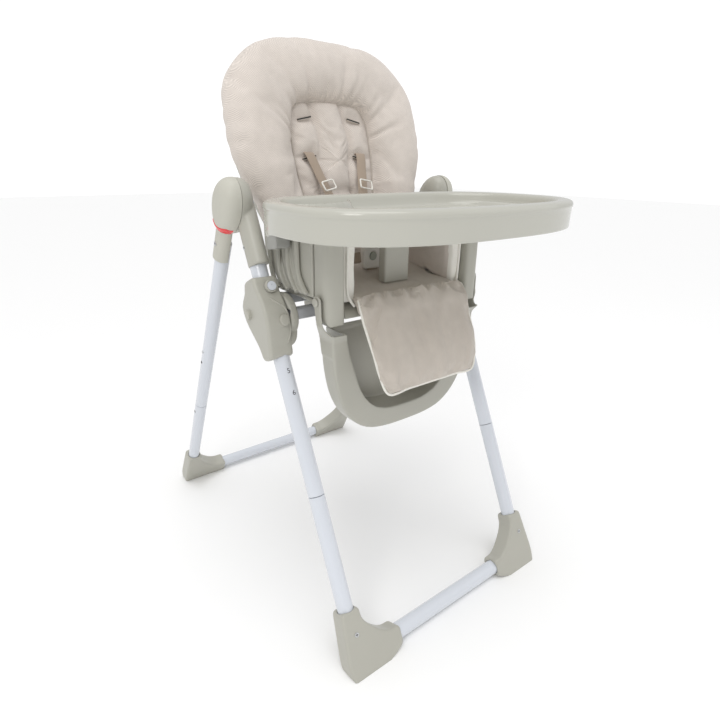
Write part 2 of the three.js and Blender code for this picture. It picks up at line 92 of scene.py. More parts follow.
def colour(name, description, default):
    return FloatVectorProperty(name=name, description=description, default=default, subtype="COLOR",
                               size=3, min=0, max=1)


class HighChairSizes(PropertyGroup):
    bolster: length("Bolster", "How far the back cushion's ring stands in front of its panel", 0.034)
    panel_depth: length("Panel depth", "Crown of the quilted panel", 0.008)
    seat_loft: length("Seat loft", "How far a simulated cushion may swell", 0.007)
    weave: length("Weave", "Width of one zigzag of the cloth", 0.0046)
    piping: length("Piping", "Radius of the piping round the cushions", 0.0022)
    rim: length("Tray rim", "Width of the tray's rolled rim", 0.028)
    number_height: length("Number height", "Height of the numbers on the front legs", 0.013)
    screw: length("Screw head", "Radius of the screw heads", 0.0042)
    tube_sides: IntProperty(name="Tube sides", description="Facets round each tube", default=48, min=12)


class HighChairColours(PropertyGroup):
    tubes: colour("Tubes", "Powder coat of the frame", (0.67, 0.70, 0.755))
    bars: colour("Cross bars", "Satin grey of the bars", (0.42, 0.43, 0.45))
    shell: colour("Mouldings", "Warm grey of the moulded pieces", (0.445, 0.437, 0.385))
    tray: colour("Tray", "Warm grey of the tray", (0.50, 0.495, 0.44))
    cloth: colour("Cloth", "Beige of the back cushion", (0.72, 0.655, 0.60))
    seat_cloth: colour("Seat cloth", "Beige of the seat and flap", (0.60, 0.545, 0.485))
    webbing: colour("Webbing", "Taupe of the harness", (0.40, 0.32, 0.25))
    red: colour("Buttons", "Red of the buttons and latches", (0.78, 0.022, 0.03))
    cream: colour("Buckle", "Cream of the buckle and piping", (0.85, 0.83, 0.77))


def sizes():
    return bpy.context.scene.high_chair_sizes


def colours():
    return bpy.context.scene.high_chair_colours


# ---- materials ----


class Finish:
    """A material whose nodes are wired by name."""

    def __init__(self, name, base, roughness, **sockets):
        self.material = bpy.data.materials.new(name)
        self.material.use_nodes = True
        self.tree = self.material.node_tree
        self.shader = self.tree.nodes["Principled BSDF"]
        self.base = (*base, 1)
        self.set("Base Color", self.base)
        self.set("Roughness", roughness)
        for socket, value in sockets.items():
            self.set(socket.replace("_", " "), value)
        self.place = self.tree.nodes.new("ShaderNodeTexCoord").outputs["Object"]

    def set(self, socket, value):
        self.shader.inputs[socket].default_value = value

    def link(self, start, end):
        self.tree.links.new(start, end)

    def math(self, operation, first, second=None):
        node = self.tree.nodes.new("ShaderNodeMath")
        node.operation = operation
        for socket, value in zip(node.inputs, (first, second)):
            if value is None:
                continue
            if isinstance(value, (int, float)):
                socket.default_value = value
            else:
                self.link(value, socket)
        return node.outputs[0]

    def clouds(self, scale, detail=3):
        node = self.tree.nodes.new("ShaderNodeTexNoise")
        node.inputs["Scale"].default_value = scale
        node.inputs["Detail"].default_value = detail
        self.link(self.place, node.inputs["Vector"])
        return node.outputs["Fac"]

    def ramp(self, factor, low, high):
        node = self.tree.nodes.new("ShaderNodeMapRange")
        node.inputs["To Min"].default_value = low
        node.inputs["To Max"].default_value = high
        self.link(factor, node.inputs["Value"])
        return node.outputs["Result"]

    def tint(self, factor, dark, light):
        """Base colour from dark to light, as shares of the base."""
        node = self.tree.nodes.new("ShaderNodeValToRGB")
        for element, share in zip(node.color_ramp.elements, (dark, light)):
            element.color = (*(min(channel * share, 1) for channel in self.base[:3]), 1)
        self.link(factor, node.inputs["Fac"])
        self.link(node.outputs["Color"], self.shader.inputs["Base Color"])

    def bump(self, height, strength, distance):
        node = self.tree.nodes.new("ShaderNodeBump")
        node.inputs["Strength"].default_value = strength
        node.inputs["Distance"].default_value = distance
        self.link(height, node.inputs["Height"])
        self.link(node.outputs["Normal"], self.shader.inputs["Normal"])


def moulded_finish(name, base, roughness, grain, coat=0.0):
    """Injection-moulded plastic: a fine spark-eroded grain, soft clouding and slightly uneven gloss."""
    made = Finish(name, base, roughness, Coat_Weight=coat, Coat_Roughness=0.08, IOR=1.46)
    made.tint(made.clouds(9, 4), 0.965, 1.03)
    gloss = made.ramp(made.clouds(38, 4), roughness - 0.05, roughness + 0.06)
    made.link(gloss, made.shader.inputs["Roughness"])
    made.bump(made.clouds(1500, 2), grain, 0.0002)
    return made.material


def powder_coat(name, base, roughness, metallic=0.0):
    """Sprayed and baked paint with its shallow orange peel."""
    made = Finish(name, base, roughness, Metallic=metallic, Coat_Weight=0.35, Coat_Roughness=0.1)
    made.tint(made.clouds(6, 3), 0.975, 1.02)
    made.bump(made.clouds(420, 1), 0.05, 0.0003)
    return made.material


def cloth(name, base, zigzag):
    """A fine zigzag weave of lighter and darker threads, with a soft sheen."""
    made = Finish(name, base, 0.82, Sheen_Weight=0.25, Sheen_Roughness=0.45, Specular_IOR_Level=0.3)
    split = made.tree.nodes.new("ShaderNodeSeparateXYZ")
    made.link(made.place, split.inputs[0])
    x, y, z = split.outputs
    over = made.math("ADD", x, made.math("MULTIPLY", y, 0.75))
    up = made.math("ADD", z, made.math("MULTIPLY", y, 0.4))
    fold = made.math("PINGPONG", over, zigzag)
    diagonal = made.math("MULTIPLY", made.math("ADD", up, fold), 2 * math.pi / (zigzag * 0.62))
    stripes = made.math("SINE", diagonal)
    threads = made.math("MULTIPLY", made.math("ADD", stripes, 1), 0.5)
    patches = made.math("MULTIPLY", made.clouds(60, 5), 0.38)
    worn = made.math("ADD", made.math("MULTIPLY", threads, 0.62), patches)
    made.tint(worn, 0.74, 1.17)
    fuzz = made.math("ADD", threads, made.clouds(900, 2))
    made.bump(fuzz, 0.3, 0.0006)
    return made.material


def woven_band(name, base):
    """Webbing: fine ribs across the band, with fuzz."""
    made = Finish(name, base, 0.78, Sheen_Weight=0.2)
    wave = made.tree.nodes.new("ShaderNodeTexWave")
    wave.bands_direction = "Z"
    wave.inputs["Scale"].default_value = 160
    wave.inputs["Distortion"].default_value = 0.6
    made.link(made.place, wave.inputs["Vector"])
    made.tint(wave.outputs["Fac"], 0.85, 1.12)
    made.bump(wave.outputs["Fac"], 0.35, 0.0006)
    return made.material


def make_materials():
    c = colours()
    return {
        "tube": powder_coat("frame paint", c.tubes, 0.2),
        "bar": powder_coat("bar paint", c.bars, 0.34, 0.25),
        "shell": moulded_finish("satin moulding", c.shell, 0.34, 0.12),
        "matte": moulded_finish("matte moulding", [channel * 1.2 for channel in c.shell], 0.5, 0.3),
        "tray": moulded_finish("polished moulding", c.tray, 0.17, 0.02, 0.35),
        "grey": moulded_finish("grey moulding", (0.36, 0.36, 0.34), 0.42, 0.15),
        "red": moulded_finish("red moulding", c.red, 0.26, 0.05, 0.2),
        "cream": moulded_finish("cream moulding", c.cream, 0.3, 0.05, 0.1),
        "button": moulded_finish("grey-green moulding", (0.45, 0.47, 0.40), 0.35, 0.08),
        "lining": woven_band("white lining", c.cream),
        "cloth": cloth("beige weave", c.cloth, sizes().weave),
        "seat cloth": cloth("seat weave", c.seat_cloth, sizes().weave * 0.8),
        "piping": woven_band("white piping", c.cream),
        "webbing": woven_band("taupe webbing", c.webbing),
        "dark": moulded_finish("shadowed hole", (0.03, 0.028, 0.026), 0.6, 0.05),
        "ink": moulded_finish("number ink", (0.10, 0.10, 0.11), 0.45, 0.02),
        "steel": Finish("plated steel", (0.60, 0.61, 0.62), 0.3, Metallic=1.0).material,
    }


MATERIALS = {}


def material(name):
    if not MATERIALS:
        MATERIALS.update(make_materials())
    return MATERIALS[name]


# ---- mesh helpers ----


def added(name, data):
    """A new object, put in the scene."""
    made = bpy.data.objects.new(name, data)
    bpy.context.scene.collection.objects.link(made)
    return made


def from_mesh(name, mesh, finish, sharp=None):
    piece = added(name, mesh)
    mesh.materials.clear()
    mesh.materials.append(material(finish))
    for face in mesh.polygons:
        face.use_smooth = True
    if sharp is not None:
        mesh.set_sharp_from_angle(angle=math.radians(sharp))
    return piece


def from_bmesh(name, work, finish, sharp=None):
    bmesh.ops.recalc_face_normals(work, faces=work.faces)
    mesh = bpy.data.meshes.new(name)
    work.to_mesh(mesh)
    work.free()
    return from_mesh(name, mesh, finish, sharp)


def loft(work, rings, closed=False):
    """Skins rings of equal length in a bmesh, with a fan on each end unless the rings join up."""
    made = [[work.verts.new(point) for point in ring] for ring in rings]
    spans = list(zip(made, made[1:] + made[:1])) if closed else list(zip(made, made[1:]))
    count = len(made[0])
    for low, high in spans:
        for i in range(count):
            j = (i + 1) % count
            work.faces.new((low[i], low[j], high[j], high[i]))
    if not closed:
        for ring in (made[0], made[-1]):
            middle = work.verts.new(sum((v.co for v in ring), Vector()) / count)
            for i in range(count):
                work.faces.new((middle, ring[i], ring[(i + 1) % count]))
    return made


def lofted(name, rings, finish, sharp=40, closed=False):
    work = bmesh.new()
    loft(work, rings, closed)
    return from_bmesh(name, work, finish, sharp)


def turned_rings(centre, along, profile, side, half=(1, 1), sides=64):
    """Rings of a turned or oval solid: profile holds (distance along, radius)."""
    along = along.normalized()
    side = (side - along * side.dot(along)).normalized()
    up = along.cross(side)
    rings = []
    for distance, radius in profile:
        middle = centre + along * distance
        turn = [2 * math.pi * i / sides for i in range(sides)]
        rings.append([middle + side * math.cos(t) * radius * half[0] + up * math.sin(t) * radius * half[1]
                      for t in turn])
    return rings


def rounded(start, end, radius, edge, steps=5):
    """Profile of a disc or rod with rounded edges."""
    turns = [math.pi / 2 * i / steps for i in range(steps + 1)]
    first = [(start + edge * (1 - math.sin(t)), radius - edge * (1 - math.cos(t))) for t in reversed(turns)]
    return first + [(start + end - d, r) for d, r in reversed(first)]


def smooth_path(points, steps=8):
    """A Catmull-Rom line through points."""
    points = [Vector(p).to_3d() for p in points]
    ends = [points[0] * 2 - points[1]] + points + [points[-1] * 2 - points[-2]]
    path = []
    for a, b, c, d in zip(ends, ends[1:], ends[2:], ends[3:]):
        for i in range(steps):
            t = i / steps
            path.append(0.5 * ((2 * b) + (c - a) * t + (2 * a - 5 * b + 4 * c - d) * t * t
                               + (3 * b - a - 3 * c + d) * t ** 3))
    return path + [points[-1]]


def tangents(path):
    last = len(path) - 1
    return [(path[min(i + 1, last)] - path[max(i - 1, 0)]).normalized() for i in range(last + 1)]


def tube(name, path, radius, finish, sides=12, side=ACROSS, closed=False):
    """A round cord or tube swept along a path, kept square to a side direction."""
    rings = []
    for point, along in zip(path, tangents(path)):
        first = (side - along * side.dot(along)).normalized()
        second = along.cross(first)
        rings.append([point + radius * (first * math.cos(t) + second * math.sin(t))
                      for t in (2 * math.pi * i / sides for i in range(sides))])
    return lofted(name, rings, finish, closed=closed)


def ribbon(name, path, across, width, thick, finish):
    """A flat strap with soft edges, swept along a path, its width along a direction at each end."""
    section = [(-0.5, 0.2), (-0.47, 0.5), (0, 0.56), (0.47, 0.5), (0.5, 0.2), (0.5, -0.2), (0.47, -0.5),
               (0, -0.56), (-0.47, -0.5), (-0.5, -0.2)]
    rings = []
    for i, (point, along) in enumerate(zip(path, tangents(path))):
        share = i / (len(path) - 1)
        wide = across[0].lerp(across[-1], share)
        wide = (wide - along * wide.dot(along)).normalized()
        normal = along.cross(wide)
        rings.append([point + wide * width * u + normal * thick * v for u, v in section])
    return lofted(name, rings, finish, sharp=50)


def copy_of(name, node, finish):
    """A merged copy of a CAD node's mesh."""
    work = bmesh.new()
    work.from_mesh(frame["nodes"][node].data)
    bmesh.ops.remove_doubles(work, verts=work.verts, dist=1e-5)
    mesh = bpy.data.meshes.new(name)
    work.to_mesh(mesh)
    work.free()
    return from_mesh(name, mesh, finish)


def bake(piece):
    """Turns a piece with modifiers into a plain mesh."""
    bpy.context.view_layer.update()
    mesh = bpy.data.meshes.new_from_object(piece.evaluated_get(bpy.context.evaluated_depsgraph_get()))
    piece.modifiers.clear()
    piece.data = mesh
    for face in mesh.polygons:
        face.use_smooth = True
    return piece


def relax(piece, passes):
    """Evens out a piece's surface."""
    smooth = piece.modifiers.new("smooth", "SMOOTH")
    smooth.factor = 0.5
    smooth.iterations = passes
    return bake(piece)


def soften(piece, voxel, passes):
    """Remeshes a piece and relaxes it, which rounds its corners as moulding does."""
    remesh = piece.modifiers.new("remesh", "REMESH")
    remesh.mode = "VOXEL"
    remesh.voxel_size = voxel
    return relax(piece, passes)


def refine(piece):
    """Subdivides a piece once."""
    finer = piece.modifiers.new("finer", "SUBSURF")
    finer.levels = finer.render_levels = 1
    return bake(piece)


def moulding(name, node, finish="shell", voxel=1.6 * MM, passes=6):
    return soften(copy_of(name, node, finish), voxel, passes)


def cut_with(piece, tool):
    """Takes a tool's shape out of a piece, and removes the tool."""
    step = piece.modifiers.new("cut", "BOOLEAN")
    step.operation = "DIFFERENCE"
    step.object = tool
    step.solver = "EXACT"
    bake(piece)
    piece.data.set_sharp_from_angle(angle=math.radians(40))
    bpy.data.objects.remove(tool)


def join(name, pieces, finish):
    """One piece from the meshes of several, which are removed."""
    work = bmesh.new()
    for piece in pieces:
        work.from_mesh(piece.data)
        bpy.data.objects.remove(piece)
    return from_bmesh(name, work, finish, 40)


def slab(name, low, high, finish="dark"):
    """A box between two corners: a cutter or a small plate."""
    work = bmesh.new()
    bmesh.ops.create_cube(work, size=1)
    low, high = Vector(low), Vector(high)
    for v in work.verts:
        v.co = Vector([a + (b - a) * (c + 0.5) for a, b, c in zip(low, high, v.co)])
    return from_bmesh(name, work, finish, 30)


def settle(piece, body, slot, *nodes):
    """Puts a finished piece on its body, in place of the CAD nodes it stands for."""
    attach(piece, body)
    if nodes:
        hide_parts(*nodes)


def mirrored(piece, name):
    """A copy on the other side of the chair, turned the right way out."""
    mesh = piece.data.copy()
    mesh.transform(Matrix.Scale(-1, 4, ACROSS))
    mesh.flip_normals()
    return added(name, mesh)


def settle_pair(piece, stem, body, slot, node=None):
    """Settles a right-hand piece and its mirrored twin. A body's name that ends in _ takes the side too."""
    piece.name = stem + "_right"
    twin = mirrored(piece, stem + "_left")
    for side, each in (("right", piece), ("left", twin)):
        nodes = [f"{node}_{side}"] if node else []
        settle(each, body + side if body.endswith("_") else body, slot, *nodes)
    return piece, twin


# ---- the legs, read from the frame ----


class Leg:
    """One side's leg: its x, radius, and how far down it the tube starts, joins and turns in."""

    def __init__(self, which, down):
        self.which = which
        self.down = down
        self.behind = Vector((0, -down.z, down.y))
        low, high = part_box(f"{which}_leg_tube_right")
        self.x = (low.x + high.x) / 2
        self.radius = (high.x - low.x) / 2
        lift = self.radius * abs(down.y)
        self.top = (HUB.z - high.z + lift) / -down.z
        self.joint = (HUB.z - low.z - lift) / -down.z
        base_low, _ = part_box(f"{which}_base_tube")
        self.bar = (HUB.z - base_low.z - self.radius) / -down.z

    def at(self, s, v=0.0, x=None):
        """The point s down the leg and v behind it."""
        start = Vector((self.x if x is None else x, 0, 0)) + Vector((0, HUB.y, HUB.z))
        return start + self.down * s + self.behind * v


FRONT = Leg("front", FRONT_DOWN)
REAR = Leg("rear", REAR_DOWN)
BEND = 0.072  # radius of the bends at the floor
SEAM = 0.0006  # half the gap where a base tube meets its leg


def u_path(leg):
    """Down one leg from the joint, round a bend, across and up again."""
    half = [leg.at(leg.joint + SEAM + (leg.bar - BEND - leg.joint) * i / 6) for i in range(7)]
    for i in range(1, 17):
        turn = math.pi / 2 * i / 16
        half.append(leg.at(leg.bar - BEND + BEND * math.sin(turn), 0, leg.x + BEND * (1 - math.cos(turn))))
    return half + [Vector((-p.x, p.y, p.z)) for p in reversed(half)]


def make_tubes():
    sides = sizes().tube_sides
    for leg in (FRONT, REAR):
        body = leg.which + "_frame"
        base = tube(leg.which + "_base_bend", u_path(leg), leg.radius, "tube", sides, leg.behind)
        settle(base, body, "frame_paint", leg.which + "_base_tube")
        straight = rounded(leg.top, leg.joint - SEAM, leg.radius, 0.6 * MM)
        rings = turned_rings(leg.at(0), leg.down, straight, ACROSS, sides=sides)
        upper = lofted(leg.which + "_upper_tube", rings, "tube")
        settle_pair(upper, leg.which + "_upper_tube", body, "frame_paint", leg.which + "_leg_tube")
    make_numbers()
    make_leg_buttons()


def make_numbers():
    """Height numbers printed on the front of each front leg, wrapped round the tube."""
    first = 0.272
    spacing = 0.04
    for count, digit in enumerate("456"):
        curve = bpy.data.curves.new("digit", "FONT")
        curve.body = digit
        curve.size = sizes().number_height
        curve.align_x = "CENTER"
        curve.align_y = "CENTER"
        curve.extrude = 0.12 * MM
        drawn = added("digit", curve)
        mesh = bpy.data.meshes.new_from_object(drawn.evaluated_get(bpy.context.evaluated_depsgraph_get()))
        bpy.data.objects.remove(drawn)
        for side, x in (("right", FRONT.x), ("left", -FRONT.x)):
            copy = mesh.copy()
            s = first + spacing * count
            for v in copy.vertices:
                turn = v.co.x / FRONT.radius
                out = FRONT.radius + 0.1 * MM + v.co.z
                v.co = FRONT.at(s - v.co.y, -out * math.cos(turn), x + out * math.sin(turn))
            settle(from_mesh(f"height_number_{digit}_{side}", copy, "ink", 30), "front_frame", "frame_paint")


def make_leg_buttons():
    """A snap button and two empty holes on the outside of each rear leg."""
    sunk = 1.5 * MM
    for index, (s, finish) in enumerate(((0.372, "steel"), (0.405, "dark"), (0.585, "dark"))):
        proud = 1.6 * MM if finish == "steel" else 0.25 * MM
        start = REAR.at(s, 0, REAR.x - (REAR.radius - sunk))
        profile = rounded(0, sunk + proud, 3.1 * MM, min(proud, 1 * MM))
        pin = lofted("snap", turned_rings(start, -ACROSS, profile, REAR.behind, sides=28), finish)
        slot = "steel" if finish == "steel" else "frame_paint"
        settle_pair(pin, f"leg_button_{index}", "rear_frame", slot)


# ---- feet, hubs and carriages ----


def make_feet():
    for leg in (FRONT, REAR):
        node = leg.which + "_foot"
        foot = moulding(node, node + "_right", "shell", 1.7 * MM, 9)
        settle_pair(foot, leg.which + "_boot", leg.which + "_frame", "shell_plastic", node)


HUB_SEAM = -0.2520  # x where the hub's two halves meet
EGG_CENTRE = 0.0050  # how far the hub's oval is below the fold axis
EGG_LONG = 0.0530  # half its height
EGG_SHORT = 0.0365  # half its width
EGG_DEPTH = 0.0310  # how far its cover stands out
EGG_FULLER = 0.10  # how much wider it is towards its top
EGG_WALL = 0.16  # share of its depth that is an upright wall
DOME_POWER = 0.55  # how square the dome over that wall is
DOME_TIP = 0.004  # smallest share of the oval at the dome's middle


def dome(swing):
    """How far out a turn over the dome lies, as shares of its depth and of its oval."""
    return EGG_WALL + (1 - EGG_WALL) * math.sin(swing), max(math.cos(swing), DOME_TIP) ** DOME_POWER


def egg_rings(scale, depth, start_x, outward, sides=72):
    """Half of the fold hub: an oval, fuller at its top, that domes over away from the seam."""
    half_long = EGG_LONG * scale
    half_short = EGG_SHORT * scale
    profile = [(0, 1.0)]
    for i in range(20):
        out, reach = dome(math.pi / 2 * i / 19)
        profile.append((depth * out, reach))
    rings = []
    for distance, radius in profile:
        ring = []
        for k in range(sides):
            turn = 2 * math.pi * k / sides
            along = EGG_CENTRE - math.cos(turn) * half_long * radius
            wide = math.sin(turn) * half_short * radius * (1 + EGG_FULLER * math.cos(turn))
            ring.append(REAR.at(along, wide, start_x + outward * distance))
        rings.append(ring)
    return rings


def egg_point(turn, swing, scale, lift):
    """A point of the hub cover: an angle round its oval, and how far over the dome it lies."""
    out, reach = dome(swing)
    along = EGG_CENTRE - math.cos(turn) * EGG_LONG * scale * reach
    wide = math.sin(turn) * EGG_SHORT * scale * reach * (1 + EGG_FULLER * math.cos(turn))
    return REAR.at(along, wide, HUB_SEAM - 0.5 * MM - (EGG_DEPTH + lift) * out)


def make_hub_caps():
    """The domed cover, and the red crescent that fills the lower end of its face."""
    cap = lofted("hub_cover", egg_rings(1.0, EGG_DEPTH, HUB_SEAM - 0.5 * MM, -1), "matte", 50)
    settle_pair(cap, "hub_cover", "rear_frame", "shell_plastic", "hub_cap")
    rows, columns = 24, 40
    first_turn, span = math.pi - 0.50, 1.42
    crescent_top, crescent_sag = 0.0345, 0.006
    work = bmesh.new()
    sheets = []
    for scale, lift in ((1.018, 0.9 * MM), (0.93, -2 * MM)):
        grid = []
        for i in range(columns + 1):
            turn = first_turn + span * i / columns
            share = i / columns * 2 - 1
            edge = crescent_top + crescent_sag * (1 - share * share)
            reach = min((edge - EGG_CENTRE) / (-math.cos(turn) * EGG_LONG), 0.98)
            last = math.acos(reach ** (1 / DOME_POWER))
            points = [egg_point(turn, last * k / rows, scale, lift) for k in range(rows + 1)]
            grid.append([work.verts.new(point) for point in points])
        sheets.append(grid)
    for grid in sheets:
        for i in range(columns):
            for k in range(rows):
                work.faces.new((grid[i][k], grid[i + 1][k], grid[i + 1][k + 1], grid[i][k + 1]))
    rim = [(i, 0) for i in range(columns)] + [(columns, k) for k in range(rows)]
    rim += [(i, rows) for i in range(columns, 0, -1)] + [(0, k) for k in range(rows, 0, -1)]
    for (i, k), (m, n) in zip(rim, rim[1:] + rim[:1]):
        work.faces.new((sheets[0][i][k], sheets[0][m][n], sheets[1][m][n], sheets[1][i][k]))
    button = from_bmesh("fold_red", work, "red", 45)
    settle_pair(button, "fold_red", "fold_button_", "red_button", "fold_button")


def make_hubs():
    """The inner half of each hub with the front leg's sleeve, and the rear leg's sleeve with its disc."""
    disc = lofted("disc", egg_rings(0.985, 0.030, HUB_SEAM + 0.5 * MM, 1), "matte")
    end = 0.116
    turns = [math.pi / 2 * i / 12 for i in range(1, 13)]
    profile = [(-0.014 + 0.030 * (1 - math.cos(t)), math.sin(t)) for t in turns]
    profile += [(end - 0.003, 1), (end - 0.001, 0.99), (end, 0.95)]
    oval = turned_rings(FRONT.at(0, -0.004), FRONT.down, profile, ACROSS, (0.0182, 0.0222))
    sleeve = lofted("sleeve", oval, "shell")
    hub = soften(join("front_socket", [disc, sleeve], "shell"), 1.3 * MM, 5)
    settle_pair(hub, "front_socket", "front_frame", "shell_plastic", "front_hub")
    disc = lofted("disc", turned_rings(Vector((-0.2732, HUB.y, HUB.z)), ACROSS,
                                       rounded(0, 0.0200, 0.029, 2 * MM), REAR_DOWN), "shell")
    sleeve = lofted("sleeve", turned_rings(REAR.at(0), REAR.down, rounded(0.012, 0.117, 0.0186, 2.5 * MM),
                                           ACROSS), "shell")
    cut_with(sleeve, slab("trim", (-0.2526, -1, 0), (0, 1, 2)))
    hub = soften(join("rear_socket", [disc, sleeve], "matte"), 1.3 * MM, 6)
    settle_pair(hub, "rear_socket", "rear_frame", "shell_plastic", "rear_hub")


def make_carriages():
    outer = moulding("carriage", "carriage_outer_right", "shell", 1.3 * MM, 12)
    settle_pair(outer, "carriage_cover", "seat", "shell_plastic", "carriage_outer")
    halves = [carriage_bulge(), copy_of("plate", "carriage_inner_right", "shell")]
    inner = soften(join("carriage", halves, "shell"), 1.3 * MM, 8)
    settle_pair(inner, "carriage_plate", "seat", "shell_plastic", "carriage_inner")
    red = moulding("latch", "height_latch_right", "red", 0.7 * MM, 5)
    settle_pair(red, "height_red", "height_latch_", "red_button", "height_latch")
    make_carriage_details()


def carriage_bulge():
    """The rounded inner half of the clamp, whose front runs on from the outer half."""
    rings = []
    for behind, share in ((-0.0215, 0.84), (-0.0205, 0.94), (-0.0165, 1), (0.020, 1), (0.026, 0.9)):
        ring = []
        for k in range(48):
            turn = 2 * math.pi * k / 48
            wide, tall = math.cos(turn), math.sin(turn)
            ring.append(FRONT.at(0.222 + 0.047 * share * math.copysign(abs(tall) ** 0.8, tall), behind,
                                 -0.2210 + 0.0245 * share * math.copysign(abs(wide) ** 0.8, wide)))
        rings.append(ring)
    return lofted("bulge", rings, "shell")


def surface(node, start, towards):
    """Where a line first meets a CAD node."""
    mesh = frame["nodes"][node].data
    tree = BVHTree.FromPolygons([v.co for v in mesh.vertices], [tuple(p.vertices) for p in mesh.polygons])
    hit = tree.ray_cast(start, towards)[0]
    if hit is None:
        raise RuntimeError(f"nothing of {node} lies there")
    return hit


def make_carriage_details():
    """The ringed height window with its number, two round bosses and a raised edge line."""
    face = surface("carriage_outer_right", FRONT.at(0.182, -0.2), FRONT.behind)
    lift = (face - FRONT.at(0)).dot(FRONT.behind)
    centre = FRONT.at(0.160, lift + 0.5 * MM)
    ring = [(0, 8.0 * MM), (1.6 * MM, 8.1 * MM), (2.6 * MM, 8.8 * MM), (2.8 * MM, 9.8 * MM),
            (2.0 * MM, 10.9 * MM), (-3 * MM, 11.4 * MM), (-3 * MM, 8.0 * MM)]
    rings = turned_rings(centre, -FRONT.behind, ring, ACROSS, sides=48)
    bezel = lofted("window_bezel", rings, "shell", 35, True)
    settle_pair(bezel, "window_bezel", "seat", "shell_plastic")
    lens = lofted("lens", turned_rings(centre, -FRONT.behind, rounded(-3 * MM, 4.0 * MM, 8.1 * MM, 0.3 * MM),
                                       ACROSS, sides=48), "tube")
    settle_pair(lens, "window_lens", "seat", "frame_paint")
    stroke = slab("digit", (-0.8 * MM, -0.4 * MM, -3.8 * MM), (0.8 * MM, 0.4 * MM, 3.8 * MM), "ink")
    mark = Matrix.Translation(centre - FRONT.behind * 1.2 * MM) @ Matrix.Rotation(
        math.atan2(FRONT.down.y, FRONT.down.z) + math.pi, 4, "X")
    stroke.data.transform(mark)
    settle_pair(stroke, "window_digit", "seat", "frame_paint")
    spots = ((FRONT.at(0.224, -0.2, -0.2285), FRONT.behind, 9.0 * MM),
             (FRONT.at(0.196, 0.026, -0.4), ACROSS, 8.0 * MM))
    for index, (start, towards, radius) in enumerate(spots):
        place = surface("carriage_outer_right", start, towards)
        boss = lofted("boss", turned_rings(place, -towards, rounded(-4 * MM, 6.2 * MM, radius, 1.6 * MM),
                                           FRONT.down, (1.15, 1), 48), "shell")
        settle_pair(boss, f"carriage_boss_{index}", "seat", "shell_plastic")
    line = [(0.181, -0.2420), (0.190, -0.2330), (0.199, -0.2230), (0.212, -0.2180), (0.232, -0.2172),
            (0.250, -0.2195), (0.264, -0.2260)]
    path = [surface("carriage_outer_right", FRONT.at(s, -0.2, x), FRONT.behind) for s, x in line]
    edge = tube("edge", smooth_path(path, 6), 1.5 * MM, "shell", 12)
    settle_pair(edge, "carriage_edge", "seat", "shell_plastic")


# ---- seat shell, columns and bars ----


def make_seat_shell():
    pairs = (("side_wall", "side_panel", 1.5 * MM, 4), ("column", "arm_column", 1.5 * MM, 6),
             ("legrest_stud", "legrest_pin", 0.8 * MM, 3))
    for stem, node, voxel, passes in pairs:
        piece = moulding(stem, node + "_right", "shell", voxel, passes)
        settle_pair(piece, stem, "seat", "shell_plastic", node)
    make_ribs()
    settle(moulding("seat_pan", "seat_base", "shell", 2 * MM, 5), "seat", "shell_plastic", "seat_base")
    for end in ("front", "rear"):
        bar = copy_of("bar", "cross_bar_" + end, "bar")
        bevel = bar.modifiers.new("edges", "BEVEL")
        bevel.width = 0.8 * MM
        bevel.segments = 2
        bevel.limit_method = "ANGLE"
        bake(bar)
        bar.data.set_sharp_from_angle(angle=math.radians(40))
        bar.name = end + "_bar"
        settle(bar, "seat", "bar_paint", "cross_bar_" + end)


def make_ribs():
    """Four stiffening ribs down each side wall that sweep forwards at their foot."""
    low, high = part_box("side_panel_right")
    section = [(-0.5, 0), (-0.42, 0.62), (-0.15, 1), (0.15, 1), (0.42, 0.62), (0.5, 0),
               (0.3, -0.5), (-0.3, -0.5)]
    ribs = []
    for index in range(4):
        top = -0.034 - 0.033 * index
        foot = low.z + 0.006 + 0.002 * index
        route = smooth_path([(top, high.z - 0.004), (top - 0.001, 0.716), (top - 0.003, 0.684),
                             (top - 0.012, foot + 0.018), (top - 0.030, foot)], 8)
        path = [Vector((low.x, p.x, p.y)) for p in route]
        rings = []
        for point, along in zip(path, tangents(path)):
            wide = along.cross(ACROSS).normalized()
            rings.append([point + wide * 0.0075 * u - ACROSS * 0.0052 * v for u, v in section])
        ribs.append(lofted("rib", rings, "shell", 50))
    settle_pair(join("ribs", ribs, "shell"), "side_ribs", "seat", "shell_plastic")


def make_backrest():
    shell = moulding("back_shell", "backrest_shell", "shell", 2.2 * MM, 5)
    settle(shell, "backrest", "shell_plastic", "backrest_shell")
    lever = moulding("recline_handle", "recline_lever", "shell", 1 * MM, 6)
    settle(lever, "recline_lever", "shell_plastic", "recline_lever")


def make_legrest():
    """The tub, narrower and further back than its CAD solid below its arms."""
    scoop = moulding("legrest_tub", "legrest_scoop", "shell", 1.8 * MM, 10)
    arms = 0.607
    for v in scoop.data.vertices:
        share = min(max((arms - v.co.z) / 0.04, 0), 1)
        share = share * share * (3 - 2 * share)
        v.co.x *= 1 - 0.09 * share
        v.co.y += 0.024 * share
    settle(scoop, "legrest", "shell_plastic", "legrest_scoop")


# ---- tray ----


def superellipse(half, depth, power, middle, z, count, lift=None):
    """A level ring, squarer towards the back."""
    ring = []
    for i in range(count):
        t = 2 * math.pi * (i + 0.5) / count
        c, s = math.cos(t), math.sin(t)
        squareness = power + (1.3 if s > 0 else 0.0) * s * s
        x = half * math.copysign(abs(c) ** (2 / squareness), c)
        y = middle + depth * math.copysign(abs(s) ** (2 / squareness), s)
        ring.append(Vector((x, y, z + (lift(x, y) if lift else 0))))
    return ring


